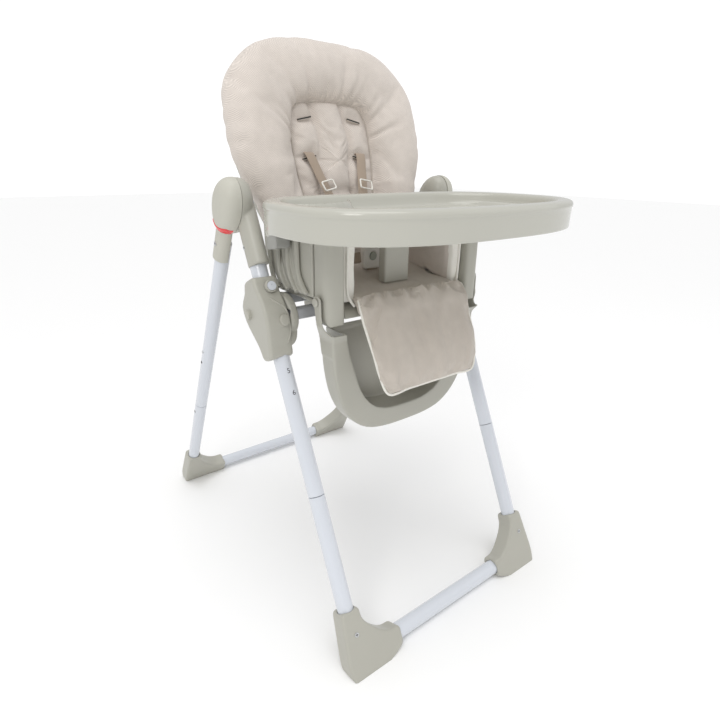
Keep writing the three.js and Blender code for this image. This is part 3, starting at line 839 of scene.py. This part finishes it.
def tray_floor(x, y, middle):
    """A round-ended pocket behind a curved ridge at one end of the basin, and a ledge at the other."""
    away = math.hypot(x + 0.185, y - middle - 0.172) - 0.115
    pocket = 1 / (1 + math.exp(min(away / 0.004, 60)))
    ridge = math.exp(-(away / 0.0065) ** 2)
    ledge = 1 / (1 + math.exp(-(x - 0.214 - 0.5 * (y - middle) ** 2) / 0.0022))
    return 0.005 * pocket + 0.017 * ridge + 0.010 * ledge


def make_tray():
    low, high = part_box("tray")
    middle = (low.y + high.y) / 2
    half = high.x + 0.0006
    depth = (high.y - low.y) / 2 + 0.0004
    rim = sizes().rim

    def lobe(x, y):
        """The wall's lower edge dips round each catch."""
        return -0.008 * math.exp(-((abs(x) - 0.262) / 0.02) ** 2 - ((y - middle - 0.086) / 0.026) ** 2)

    outside = [(0.150, 0.0152), (0.060, 0.0152), (0.010, 0.0152), (0.0062, 0.0140), (0.0052, 0.010),
               (0.0048, 0.002), (0.0042, 0.0006), (0.0032, 0.0), (0.0022, 0.0008), (0.0018, 0.003),
               (0.0016, 0.012), (0.0014, 0.028), (0.0012, 0.0345), (0.0004, 0.0356), (0.0, 0.037),
               (0.0002, 0.040)]
    bulge = [(rim / 2 - (rim / 2 - 0.0006) * math.cos(t), 0.0415 + 0.0065 * math.sin(t))
             for t in (math.pi * i / 12 for i in range(1, 12))]
    inside = [(rim + 0.0005, 0.0405), (rim + 0.002, 0.036), (rim + 0.005, 0.028), (rim + 0.0078, 0.0245),
              (rim + 0.012, 0.0228), (rim + 0.018, 0.0222)]
    floor = [(rim + 0.018 + (0.170 - rim - 0.018) * i / 44, 0.0222) for i in range(1, 45)]
    rings = []
    for index, (inset, z) in enumerate(outside + bulge + inside + floor):
        fade = min(max((inset - rim - 0.006) / 0.014, 0), 1)
        lift = None
        if 4 < index < 12:
            lift = lobe
        elif index >= len(outside) + len(bulge) and fade > 0:
            def lift(x, y, fade=fade):
                return tray_floor(x, y, middle) * fade
        rings.append(superellipse(half - inset, depth - inset, 2.7, middle, low.z + z, 300, lift))
    tray = lofted("tray_top", rings, "tray", 50)
    settle(tray, "tray", "tray_plastic", "tray")
    settle(moulding("tray_post", "crotch_post", "shell", 1.4 * MM, 6), "tray", "shell_plastic", "crotch_post")
    settle_pair(moulding("catch", "tray_latch_right", "grey", 1 * MM, 6), "tray_catch", "tray_latch_",
                "grey_plastic", "tray_latch")


# ---- cushions ----


def swell(piece, held, frames=20, pressure=4.0, slack=0.03, cap=0.007):
    """Blows a cushion up as cloth, with held points fixed, and keeps each point within a cap of its start."""
    start = [v.co.copy() for v in piece.data.vertices]
    group = piece.vertex_groups.new(name="held")
    for index, weight in held.items():
        group.add([index], weight, "REPLACE")
    step = piece.modifiers.new("cloth", "CLOTH")
    settings = step.settings
    settings.quality = 5
    settings.mass = 0.25
    settings.use_pressure = True
    settings.uniform_pressure_force = pressure
    settings.shrink_min = -slack
    settings.shrink_max = -slack
    settings.tension_stiffness = 25
    settings.compression_stiffness = 12
    settings.bending_stiffness = 0.6
    settings.effector_weights.gravity = 0
    if held:
        settings.vertex_group_mass = "held"
    scene = bpy.context.scene
    step.point_cache.frame_start = 1
    step.point_cache.frame_end = frames
    for number in range(1, frames + 1):
        scene.frame_set(number)
    bake(piece)
    for v, before in zip(piece.data.vertices, start):
        move = v.co - before
        if move.length > cap:
            v.co = before + move.normalized() * cap
    scene.frame_set(1)


def outline_radius(node, across, up, centre, count):
    """How far a node reaches from a centre in each of count directions of a plane, smoothed."""
    points = [(v.co - centre).to_3d() for v in frame["nodes"][node].data.vertices]
    flat = [(p.dot(across), p.dot(up)) for p in points]
    reach = []
    for k in range(count):
        turn = 2 * math.pi * k / count
        c, s = math.cos(turn), math.sin(turn)
        best = 0.0
        for u, v in flat:
            away = u * c + v * s
            side = abs(v * c - u * s)
            if side < 0.03:
                best = max(best, away - side * 0.05)
        reach.append(best)
    window = 5
    near = range(-window, window + 1)
    return [sum(reach[(k + j) % count] for j in near) / (2 * window + 1) for k in range(count)]


def make_back_cushion():
    """A puffed ring sewn round a quilted panel, with two pairs of strap slots."""
    count = 288
    middle = BACK_PIVOT + BACK_UP * 0.235
    seam_depth = 0.054
    hold_depth = 0.052
    rear_depth = 0.0175
    plump = 0.005
    outer = outline_radius("back_cushion", ACROSS, BACK_UP, middle, count)
    panel_rise = 0.116
    rows_panel = 26
    rows_ring = 30
    rows_side = 6
    rows_back = 8
    bolster = sizes().bolster

    def panel_radius(turn):
        half = 0.096
        c, s = math.cos(turn), math.sin(turn)
        power = 5.0
        tall = panel_rise if s > 0 else 0.214
        wide = half - (0.012 * max(-s, 0))
        return (abs(c / wide) ** power + abs(s / tall) ** power) ** (-1 / power)

    def spot(turn, radius, depth):
        flat = middle + ACROSS * math.cos(turn) * radius + BACK_UP * math.sin(turn) * radius
        return flat - BACK_BEHIND * depth

    gathers = [(math.radians(28 + 10.5 * k + 3 * math.sin(k * 2.4)), 0.34 + 0.12 * math.sin(k * 1.7))
               for k in range(13)]
    nips = [math.radians(a) for a in (72, 108, 146, 173, 205, 8, -14, 196)]

    def wrinkle(turn, share):
        """Sharp gathers that run out from the inner seam, nips in the outer one, and a slow unevenness."""
        total = 0.0
        for angle, reach in gathers:
            away = (turn - angle - 0.10 * share * math.sin(angle * 9) + math.pi) % (2 * math.pi) - math.pi
            total -= 0.0062 * math.exp(-(away / 0.030) ** 2 - (share / reach) ** 2)
            total += 0.0030 * math.exp(-((away - 0.075) / 0.045) ** 2 - (share / reach) ** 2)
        for angle in nips:
            away = (turn - angle + math.pi) % (2 * math.pi) - math.pi
            total -= 0.0050 * math.exp(-(away / 0.035) ** 2 - ((1 - share) / 0.20) ** 2)
        total += 0.0035 * noise.noise(Vector((math.cos(turn) * 4, math.sin(turn) * 4, share * 2)))
        return total * min(share * 12, 1)

    rings = []
    marks = []
    for row in range(rows_panel):
        share = (row + 0.6) / rows_panel
        ring = []
        for k in range(count):
            turn = 2 * math.pi * k / count
            radius = panel_radius(turn) * share
            u, v = math.cos(turn) * radius, math.sin(turn) * radius
            ring.append(spot(turn, radius, seam_depth + quilting(u, v) + 0.004 - 0.006 * share ** 6))
        rings.append(ring)
        marks.append("panel")
    for row in range(rows_ring + 1):
        share = row / rows_ring
        swing = math.pi * share
        ring = []
        for k in range(count):
            turn = 2 * math.pi * k / count
            inner = panel_radius(turn)
            edge = outer[k] + plump
            drop = max(-math.sin(turn) - 0.55, 0) * 0.9
            over = math.copysign(abs(math.cos(swing)) ** 0.85, math.cos(swing))
            radius = inner + (edge - inner) * (1 - over) / 2
            height = (bolster + 0.004) * (1 - drop) * max(math.sin(swing), 0) ** 0.8
            ring.append(spot(turn, radius, hold_depth + height + wrinkle(turn, share)))
        rings.append(ring)
        marks.append("seam" if row == 0 else "ring")
    for row in range(1, rows_side + 1):
        swing = math.pi / 2 * row / rows_side
        depth = hold_depth - (hold_depth - rear_depth) * math.sin(swing)
        rings.append([spot(2 * math.pi * k / count, outer[k] + plump - 0.013 * (1 - math.cos(swing)), depth)
                      for k in range(count)])
        marks.append("side")
    for row in range(1, rows_back + 1):
        share = row / rows_back
        rings.append([spot(2 * math.pi * k / count, (outer[k] - 0.008) * (1 - 0.97 * share), rear_depth)
                      for k in range(count)])
        marks.append("back")
    cushion = lofted("back_pad", rings, "cloth", None)
    held = {}
    for row, mark in enumerate(marks):
        for k in range(count):
            if mark in ("back", "seam"):
                held[row * count + k] = 1.0
            elif mark == "panel" and pinched(rings[row][k], middle):
                held[row * count + k] = 1.0
    swell(cushion, held, cap=sizes().seat_loft)
    relax(cushion, 2)
    settle(cushion, "backrest", "seat_fabric", "back_cushion")
    make_back_seams(spot, panel_radius, middle, seam_depth)


SLOTS = ((0.060, 0.083), (0.062, 0.008))


def quilting(u, v):
    """Depth of the sewn lines and pinched slots of the back panel, from its middle."""
    height = 0.0
    for line in (-0.036, 0.036):
        if v > -0.11:
            height -= 0.0085 * math.exp(-((u - line - 0.006 * math.sin(v * 40)) / 0.0065) ** 2)
    height -= 0.008 * math.exp(-((v + 0.060) / 0.007) ** 2) / (1 + math.exp((abs(u) - 0.036) / 0.003))
    for x, y in SLOTS:
        height -= 0.010 * math.exp(-((abs(u) - x) / 0.024) ** 2 - ((v - y) / 0.012) ** 2)
    puff = 0.009 * math.exp(-(u / 0.034) ** 2) + 0.004 * math.exp(-((abs(u) - 0.07) / 0.02) ** 2)
    return height + puff


def pinched(point, middle):
    """Whether a point of the panel lies on a sewn line or a slot."""
    away = point - middle
    u, v = away.dot(ACROSS), away.dot(BACK_UP)
    on_line = v > -0.11 and min(abs(u - 0.036), abs(u + 0.036)) < 0.003
    on_slot = any(abs(abs(u) - x) < 0.018 and abs(v - y) < 0.004 for x, y in SLOTS)
    return on_line or on_slot


def make_back_seams(spot, panel_radius, middle, depth):
    """A sunk cord along the seam between ring and panel, and the edges of the strap slots."""
    path = [spot(t, panel_radius(t), depth + 0.0012) for t in (2 * math.pi * k / 180 for k in range(180))]
    cord = tube("back_seam", path, 1.3 * MM, "seat cloth", 8, BACK_BEHIND, closed=True)
    settle(cord, "backrest", "seat_fabric")
    for index, (x, y) in enumerate(SLOTS):
        for side, hand in ((-1, "right"), (1, "left")):
            centre = middle + ACROSS * side * x + BACK_UP * y - BACK_BEHIND * (depth + 0.002)
            tilt = BACK_UP * 0.0035
            ends = [centre - ACROSS * 0.0155 + tilt * side, centre + ACROSS * 0.0155 - tilt * side]
            lip = ribbon(f"slot_edge_{index}_{hand}", smooth_path([ends[0], centre, ends[1]]),
                         [BACK_UP], 0.0052, 0.003, "seat cloth")
            settle(lip, "backrest", "seat_fabric")
            proud = [e - BACK_BEHIND * 0.0006 for e in (ends[0], centre, ends[1])]
            gap = ribbon(f"slot_{index}_{hand}", smooth_path(proud), [BACK_UP], 0.0026, 0.0032, "dark")
            settle(gap, "backrest", "seat_fabric")


def padded_copy(name, node, finish, voxel, pressure, cap, shrink):
    """A cushion from its plain solid: shrunk a little, remeshed, blown up as cloth and subdivided."""
    piece = copy_of(name, node, finish)
    centre = sum((v.co for v in piece.data.vertices), Vector()) / len(piece.data.vertices)
    for v in piece.data.vertices:
        v.co = centre + (v.co - centre) * shrink
    soften(piece, voxel, 3)
    swell(piece, {}, 20, pressure, 0.03, cap)
    return refine(piece)


def creases(piece, amount, pull):
    """Soft dents and wrinkles that follow a direction, along each point's normal."""
    mesh = piece.data
    moves = []
    for v in mesh.vertices:
        stretched = Vector((v.co.x * pull[0], v.co.y * pull[1], v.co.z * pull[2]))
        broad = v.normal * noise.noise(stretched) * amount
        moves.append(broad + v.normal * noise.noise(stretched * 2.7) * amount / 3)
    for v, move in zip(mesh.vertices, moves):
        v.co += move
    mesh.update()


def make_seat_cushions():
    seat = padded_copy("seat_pad", "seat_cushion", "seat cloth", 4.5 * MM, 3.0, 4 * MM, 0.985)
    creases(seat, 1.6 * MM, (26, 16, 20))
    settle(seat, "seat", "seat_fabric", "seat_cushion")
    wing = padded_copy("wing", "side_cushion_right", "cloth", 3.5 * MM, 3.0, 5 * MM, 0.98)
    creases(wing, 1.2 * MM, (20, 14, 22))
    low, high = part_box("side_cushion_right")
    thicker = 0.011
    for v in wing.data.vertices:
        if v.co.x > (low.x + high.x) / 2:
            v.co.x += thicker
    wing.data.materials.append(material("lining"))
    for face in wing.data.polygons:
        if face.center.y < low.y + 9 * MM:
            face.material_index = 1
    for each in settle_pair(wing, "wing_pad", "seat", "seat_fabric", "side_cushion"):
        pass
    make_flap()
    make_piping()


def flap_route():
    """The flap's middle line, from its seam on the seat's front edge down to its hem, as points along it."""
    low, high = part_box("legrest_flap")
    seat_low, seat_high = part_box("seat_cushion")
    hem = Vector((0, low.y + 0.010, low.z + 0.010))
    halfway = hem.lerp(Vector((0, high.y - 0.020, high.z - 0.012)), 0.5) - Vector((0, 0.004, 0))
    return smooth_path([(0, seat_low.y + 0.007, seat_high.z - 0.015),
                        (0, seat_low.y - 0.003, seat_high.z - 0.024),
                        (0, seat_low.y - 0.0125, seat_high.z - 0.040),
                        (0, high.y - 0.018, high.z - 0.012), halfway, hem], 14)


def flap_edge(share):
    """Half the flap's width: fullest at its middle."""
    return 0.1265 + 0.0085 * math.sin(math.pi * share) - 0.006 * share


def make_flap():
    """The padded flap gathered along the seat's front edge, which hangs over the legrest."""
    middle = flap_route()
    rows, columns = len(middle) - 1, 84
    ways = tangents(middle)
    half_thick = 0.0062

    def surface_point(i, j, side):
        share = i / rows
        across = j / columns * 2 - 1
        corner = max(abs(across) - 0.9, 0) * max(share - 0.9, 0) * 100
        x = across * (flap_edge(share) - corner * 0.010)
        out = Vector((0, ways[i].z, -ways[i].y))
        out = out if out.y < 0 or out.z > 0 else -out
        crown = max((1 - across ** 6) * (1 - (2 * share - 1) ** 8), 0)
        phase = x * 190 + 5 * noise.noise(Vector((x * 24, 0, 1)))
        gather = math.sin(phase) * math.exp(-((share - 0.10) / 0.16) ** 2) * 0.0030
        drape = noise.noise(Vector((x * 24, share * 2.0, 3))) * 0.0070
        drape += noise.noise(Vector((x * 55, share * 3, 7))) * 0.0024
        depth = half_thick * (0.12 + 0.88 * crown ** 0.4) + (gather + drape) * crown ** 0.5
        return middle[i] + ACROSS * x + out * depth * side + ways[i] * corner * -0.006

    work = bmesh.new()
    sheets = []
    for side in (1, -1):
        sheets.append([[work.verts.new(surface_point(i, j, side)) for j in range(columns + 1)]
                       for i in range(rows + 1)])
    for grid in sheets:
        for i in range(rows):
            for j in range(columns):
                work.faces.new((grid[i][j], grid[i][j + 1], grid[i + 1][j + 1], grid[i + 1][j]))
    rim = [(i, 0) for i in range(rows)] + [(rows, j) for j in range(columns)]
    rim += [(i, columns) for i in range(rows, 0, -1)] + [(0, j) for j in range(columns, 0, -1)]
    for (i, j), (k, m) in zip(rim, rim[1:] + rim[:1]):
        work.faces.new((sheets[0][i][j], sheets[0][k][m], sheets[1][k][m], sheets[1][i][j]))
    size = columns + 1
    borders = {(i * size + j) + offset for offset in (0, size * (rows + 1)) for i in range(rows + 1)
               for j in range(size) if i in (0, rows) or j in (0, columns)}
    flap = from_bmesh("flap_pad", work, "seat cloth")
    swell(flap, {index: 1.0 for index in borders}, 14, 2.0, 0.05, 4 * MM)
    refine(flap)
    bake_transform(flap)
    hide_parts("legrest_flap")
    shares = [0.12 + 0.88 * k / 8 for k in range(9)]
    sides = {side: [middle[round(share * rows * 0.985)] + ACROSS * side * (flap_edge(share) - 0.001)
                    for share in shares] for side in (-1, 1)}
    hem = [middle[rows] + ACROSS * x for x in (-0.108, -0.06, 0, 0.06, 0.108)]
    path = smooth_path(sides[-1][:-1] + hem + sides[1][-2::-1], 6)
    facing = Vector((0, ways[rows].z, -ways[rows].y))
    cord = tube("flap_piping", path, sizes().piping, "piping", 12, facing)
    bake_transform(cord)


def make_piping():
    """White piping down the front edge of each wing and along the seat's front corners."""
    low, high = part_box("side_cushion_right")
    x = (low.x + high.x) / 2
    path = smooth_path([(x, low.y + 0.003, high.z - 0.004), (x, low.y - 0.0005, 0.72), (x, low.y, 0.66),
                        (x + 0.004, low.y - 0.002, 0.640), (x + 0.012, low.y - 0.006, 0.626)], 8)
    cord = tube("wing_piping", path, sizes().piping * 1.2, "piping", 12)
    settle_pair(cord, "wing_piping", "seat", "seat_fabric")


# ---- harness ----


def make_harness():
    low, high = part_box("shoulder_strap_right")
    start = Vector((-0.0635, high.y - 0.001, high.z - 0.002))
    end = Vector((-0.019, low.y + 0.006, low.z + 0.004))
    tucked = start + BACK_BEHIND * 0.012 + BACK_UP * 0.002
    bend = start.lerp(end, 0.45) + Vector((0.003, 0.006, -0.008))
    upper = start.lerp(end, 0.2) + Vector((0.001, 0.003, -0.003))
    lower = start.lerp(end, 0.75) + Vector((0.002, 0.003, -0.004))
    band = ribbon("shoulder_band_right", smooth_path([tucked, start, upper, bend, lower, end]),
                  [ACROSS, Vector((1, 0.2, 0))], 0.0215, 0.0017, "webbing")
    twin = mirrored(band, "shoulder_band_left")
    for side, each in (("right", band), ("left", twin)):
        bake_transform(each)
        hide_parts("shoulder_strap_" + side)
    make_adjusters()
    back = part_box("waist_strap_right")[1].y
    path = smooth_path([(-0.125, back + 0.01, 0.672), (-0.108, back, 0.674), (-0.07, -0.082, 0.682),
                        (-0.026, -0.0945, 0.686)])
    waist = ribbon("waist_band", path, [Vector((0, 0.15, 1))], 0.020, 0.0017, "webbing")
    settle_pair(waist, "waist_band", "seat", "webbing", "waist_strap")
    strap_low, strap_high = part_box("crotch_strap")
    y = (strap_low.y + strap_high.y) / 2
    path = smooth_path([(0, y + 0.004, strap_low.z - 0.004), (0, y, strap_low.z + 0.006),
                        (0, y + 0.001, strap_high.z + 0.002)])
    crotch = ribbon("crotch_band", path, [ACROSS], 0.027, 0.0022, "webbing")
    settle(crotch, "seat", "webbing", "crotch_strap")
    buckle = moulding("buckle_case", "buckle", "cream", 0.8 * MM, 8)
    settle(buckle, "seat", "harness_plastic", "buckle")
    low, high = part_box("buckle_button")
    centre = Vector((0, high.y, (low.z + high.z) / 2))
    thick = high.y - low.y
    profile = rounded(0, thick, 0.0083, 1.2 * MM) + [(thick - 0.5 * MM, 0.0045)]
    rings = turned_rings(centre, Vector((0, -1, 0)), profile, ACROSS, sides=48)
    cap = lofted("buckle_press", rings, "button")
    settle(cap, "buckle_button", "shell_plastic", "buckle_button")


def make_adjusters():
    """The white frames of the slides on the shoulder straps."""
    along = Vector(JOINTS["strap_adjuster_right_slide"]["axis"]).normalized()
    low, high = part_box("strap_adjuster_right")
    centre = (low + high) / 2 + Vector((0.001, 0.004, 0.008))
    wide = (ACROSS - along * along.x).normalized()
    out = along.cross(wide)
    out = out if out.y < 0 else -out
    frame_path = []
    half_wide, half_long, corner = 0.0140, 0.0095, 0.003
    for quarter, (sign_u, sign_v) in enumerate(((1, 1), (-1, 1), (-1, -1), (1, -1))):
        for k in range(4):
            turn = math.pi / 2 * (quarter + k / 3)
            u = sign_u * (half_wide - corner) + corner * math.cos(turn)
            v = sign_v * (half_long - corner) + corner * math.sin(turn)
            frame_path.append(centre + out * 0.0022 + wide * u + along * v)
    loop = tube("slide", frame_path, 1.7 * MM, "cream", 10, out, closed=True)
    settle_pair(loop, "strap_slide", "strap_adjuster_", "harness_plastic", "strap_adjuster")


# ---- screws, by geometry nodes ----


def screw_tree(radius):
    """A tree that puts a flat screw head, with a dark cross standing for its recess, on every point, facing
    along its normal.
    """
    tree = bpy.data.node_groups.new("screw heads", "GeometryNodeTree")
    tree.interface.new_socket("Geometry", in_out="INPUT", socket_type="NodeSocketGeometry")
    size = tree.interface.new_socket("Radius", in_out="INPUT", socket_type="NodeSocketFloat")
    size.default_value = radius
    tree.interface.new_socket("Geometry", in_out="OUTPUT", socket_type="NodeSocketGeometry")
    make = tree.nodes.new
    link = tree.links.new
    start = make("NodeGroupInput")
    head = make("GeometryNodeMeshCylinder")
    head.inputs["Vertices"].default_value = 28
    link(start.outputs["Radius"], head.inputs["Radius"])
    depth = make("ShaderNodeMath")
    depth.operation = "MULTIPLY"
    depth.inputs[1].default_value = 0.45
    link(start.outputs["Radius"], depth.inputs[0])
    link(depth.outputs[0], head.inputs["Depth"])
    head_coat = make("GeometryNodeSetMaterial")
    head_coat.inputs["Material"].default_value = material("steel")
    link(head.outputs["Mesh"], head_coat.inputs["Geometry"])
    both = make("GeometryNodeJoinGeometry")
    link(head_coat.outputs["Geometry"], both.inputs["Geometry"])
    for turn in (0, math.pi / 2):
        arm = make("GeometryNodeMeshCube")
        arm.inputs["Size"].default_value = (radius * 1.2, radius * 0.24, radius * 0.5)
        turned = make("GeometryNodeTransform")
        turned.inputs["Rotation"].default_value = (0, 0, turn)
        coat = make("GeometryNodeSetMaterial")
        coat.inputs["Material"].default_value = material("dark")
        link(arm.outputs["Mesh"], turned.inputs["Geometry"])
        link(turned.outputs["Geometry"], coat.inputs["Geometry"])
        link(coat.outputs["Geometry"], both.inputs["Geometry"])
    facing = make("GeometryNodeInputNamedAttribute")
    facing.data_type = "FLOAT_VECTOR"
    facing.inputs["Name"].default_value = "facing"
    align = make("FunctionNodeAlignRotationToVector")
    align.axis = "Z"
    link(facing.outputs["Attribute"], align.inputs["Vector"])
    copies = make("GeometryNodeInstanceOnPoints")
    link(start.outputs["Geometry"], copies.inputs["Points"])
    link(both.outputs["Geometry"], copies.inputs["Instance"])
    link(align.outputs["Rotation"], copies.inputs["Rotation"])
    real = make("GeometryNodeRealizeInstances")
    end = make("NodeGroupOutput")
    link(copies.outputs["Instances"], real.inputs["Geometry"])
    link(real.outputs["Geometry"], end.inputs["Geometry"])
    return tree


def make_screws():
    """Screw heads on the sleeves, feet and carriages, one mesh for each body."""
    front_low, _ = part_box("front_hub_right")
    spots = {
        "front_frame": [(FRONT.at(0.080, 0, front_low.x + 0.4 * MM), -ACROSS),
                        (FRONT.at(0.800, -0.0190), -FRONT.behind)],
        "rear_frame": [(REAR.at(0.082, 0.0, REAR.x - 0.0184), -ACROSS),
                       (REAR.at(0.815, 0.0180), REAR.behind)],
        "seat": [(FRONT.at(0.262, -0.0195), -FRONT.behind)],
    }
    tree = screw_tree(sizes().screw)
    socket = next(item.identifier for item in tree.interface.items_tree
                  if item.name == "Radius" and item.in_out == "INPUT")
    for body, places in spots.items():
        mesh = bpy.data.meshes.new("screws_" + body)
        both = places + [(Vector((-p.x, p.y, p.z)), Vector((-n.x, n.y, n.z))) for p, n in places]
        mesh.from_pydata([p for p, _ in both], [], [])
        facing = mesh.attributes.new("facing", "FLOAT_VECTOR", "POINT")
        for value, (_, normal) in zip(facing.data, both):
            value.vector = normal
        heads = added("screws_" + body, mesh)
        nodes = heads.modifiers.new("screws", "NODES")
        nodes.node_group = tree
        nodes[socket] = sizes().screw
        bake(heads)
        heads.data.set_sharp_from_angle(angle=math.radians(30))
        settle(heads, body, "steel")


# ---- small pieces that keep their shape ----


def dress_hidden_nodes():
    for node in ("hub_bolt_right", "hub_bolt_left", "height_pin_right", "height_pin_left", "recline_axle"):
        mesh = frame["nodes"][node].data
        mesh.materials.clear()
        mesh.materials.append(material("steel"))


# ---- stage ----


def make_camera():
    yaw, pitch, roll = (math.radians(a) for a in (37.65, 20.97, 0.72))
    ahead = Vector((math.sin(yaw) * math.cos(pitch), math.cos(yaw) * math.cos(pitch), -math.sin(pitch)))
    level = Vector((math.cos(yaw), -math.sin(yaw), 0))
    above = level.cross(ahead)
    right = level * math.cos(roll) + above * math.sin(roll)
    up = above * math.cos(roll) - level * math.sin(roll)
    data = bpy.data.cameras.new("camera")
    data.sensor_width = 36
    data.lens = 25.85
    eye = (-0.6546, -0.8974 + HUB.y, 0.8625)
    camera = added("camera", data)
    camera.matrix_world = Matrix.Translation(eye) @ Matrix((right, up, -ahead)).transposed().to_4x4()
    bpy.context.scene.camera = camera


def make_light(name, place, aim, size, power, tint=(1, 1, 1)):
    data = bpy.data.lights.new(name, "AREA")
    data.shape = "DISK"
    data.size = size
    data.energy = power
    data.color = tint
    lamp = added(name, data)
    lamp.location = place
    lamp.rotation_euler = (Vector(aim) - Vector(place)).to_track_quat("-Z", "Y").to_euler()


def make_stage():
    world = bpy.data.worlds.new("studio")
    world.use_nodes = True
    background = world.node_tree.nodes["Background"]
    background.inputs["Color"].default_value = (1, 1, 1, 1)
    path = world.node_tree.nodes.new("ShaderNodeLightPath")
    strength = world.node_tree.nodes.new("ShaderNodeMapRange")
    strength.inputs["To Min"].default_value = 0.66
    strength.inputs["To Max"].default_value = 1.1
    world.node_tree.links.new(path.outputs["Is Camera Ray"], strength.inputs["Value"])
    world.node_tree.links.new(strength.outputs["Result"], background.inputs["Strength"])
    bpy.context.scene.world = world
    bpy.context.scene.view_settings.view_transform = "Standard"
    make_light("key", (-1.9, -1.4, 2.2), (0, 0, 0.6), 1.0, 13, (1, 0.985, 0.96))
    make_light("fill", (2.0, -1.6, 1.6), (0, 0, 0.6), 2.0, 3, (0.95, 0.97, 1))
    sun = bpy.data.lights.new("top", "SUN")
    sun.energy = 1.15
    sun.angle = math.radians(50)
    added("top", sun).rotation_euler = (math.radians(8), math.radians(-6), 0)
    mesh = bpy.data.meshes.new("floor")
    reach = 14
    corners = [(-reach, -reach, 0), (reach, -reach, 0), (reach, reach, 0), (-reach, reach, 0)]
    mesh.from_pydata(corners, [], [(0, 1, 2, 3)])
    floor = added("floor", mesh)
    mesh.materials.append(Finish("pale floor", (0.96, 0.96, 0.96), 0.75, Specular_IOR_Level=0.1).material)


# ---- operators ----


class HighChairStep(Operator):
    """Base of the build steps"""

    bl_options = {"REGISTER", "UNDO"}
    parts = ()

    def execute(self, context):
        for part in self.parts:
            part()
        return {"FINISHED"}


class HIGHCHAIR_OT_stage(HighChairStep):
    """Make the camera, the lights and the floor"""

    bl_idname = "highchair.stage"
    bl_label = "Stage"
    parts = (make_camera, make_stage)


class HIGHCHAIR_OT_tubes(HighChairStep):
    """Make the bent tubes, their buttons and the height numbers"""

    bl_idname = "highchair.tubes"
    bl_label = "Tubes"
    parts = (make_tubes,)


class HIGHCHAIR_OT_feet(HighChairStep):
    """Make the four moulded feet"""

    bl_idname = "highchair.feet"
    bl_label = "Feet"
    parts = (make_feet,)


class HIGHCHAIR_OT_hubs(HighChairStep):
    """Make the folding hubs, their covers and red buttons"""

    bl_idname = "highchair.hubs"
    bl_label = "Hubs"
    parts = (make_hubs, make_hub_caps)


class HIGHCHAIR_OT_carriages(HighChairStep):
    """Make the height carriages and their latches"""

    bl_idname = "highchair.carriages"
    bl_label = "Carriages"
    parts = (make_carriages,)


class HIGHCHAIR_OT_seat(HighChairStep):
    """Make the seat shell, arm columns and cross bars"""

    bl_idname = "highchair.seat"
    bl_label = "Seat shell"
    parts = (make_seat_shell,)


class HIGHCHAIR_OT_backrest(HighChairStep):
    """Make the backrest shell and the recline handle"""

    bl_idname = "highchair.backrest"
    bl_label = "Backrest"
    parts = (make_backrest,)


class HIGHCHAIR_OT_legrest(HighChairStep):
    """Make the legrest tub"""

    bl_idname = "highchair.legrest"
    bl_label = "Legrest"
    parts = (make_legrest,)


class HIGHCHAIR_OT_tray(HighChairStep):
    """Make the tray, its post and its catches"""

    bl_idname = "highchair.tray"
    bl_label = "Tray"
    parts = (make_tray,)


class HIGHCHAIR_OT_cushions(HighChairStep):
    """Make the back, seat, wing and legrest cushions"""

    bl_idname = "highchair.cushions"
    bl_label = "Cushions"
    parts = (make_back_cushion, make_seat_cushions)


class HIGHCHAIR_OT_harness(HighChairStep):
    """Make the straps, slides and buckle"""

    bl_idname = "highchair.harness"
    bl_label = "Harness"
    parts = (make_harness,)


class HIGHCHAIR_OT_hardware(HighChairStep):
    """Make the screw heads and finish the bolts, pins and axle"""

    bl_idname = "highchair.hardware"
    bl_label = "Hardware"
    parts = (make_screws, dress_hidden_nodes)


STEPS = (HIGHCHAIR_OT_stage, HIGHCHAIR_OT_tubes, HIGHCHAIR_OT_feet, HIGHCHAIR_OT_hubs,
         HIGHCHAIR_OT_carriages, HIGHCHAIR_OT_seat, HIGHCHAIR_OT_backrest, HIGHCHAIR_OT_legrest,
         HIGHCHAIR_OT_tray, HIGHCHAIR_OT_cushions, HIGHCHAIR_OT_harness, HIGHCHAIR_OT_hardware)


class HIGHCHAIR_PT_panel(Panel):
    """Lists the build steps and the values they read"""

    bl_idname = "HIGHCHAIR_PT_panel"
    bl_label = "Baby High Chair"
    bl_space_type = "VIEW_3D"
    bl_region_type = "UI"
    bl_category = "High Chair"

    def draw(self, context):
        for step in STEPS:
            self.layout.operator(step.bl_idname)
        for group in (context.scene.high_chair_sizes, context.scene.high_chair_colours):
            box = self.layout.box()
            for name in group.__annotations__:
                box.prop(group, name)


CLASSES = (HighChairSizes, HighChairColours, *STEPS, HIGHCHAIR_PT_panel)


def register():
    for each in CLASSES:
        bpy.utils.register_class(each)
    bpy.types.Scene.high_chair_sizes = PointerProperty(type=HighChairSizes)
    bpy.types.Scene.high_chair_colours = PointerProperty(type=HighChairColours)


def unregister():
    del bpy.types.Scene.high_chair_colours
    del bpy.types.Scene.high_chair_sizes
    for each in reversed(CLASSES):
        bpy.utils.unregister_class(each)


def main():
    register()
    for step in STEPS:
        group, name = step.bl_idname.split(".")
        getattr(getattr(bpy.ops, group), name)()


if __name__ == "__main__":
    main()
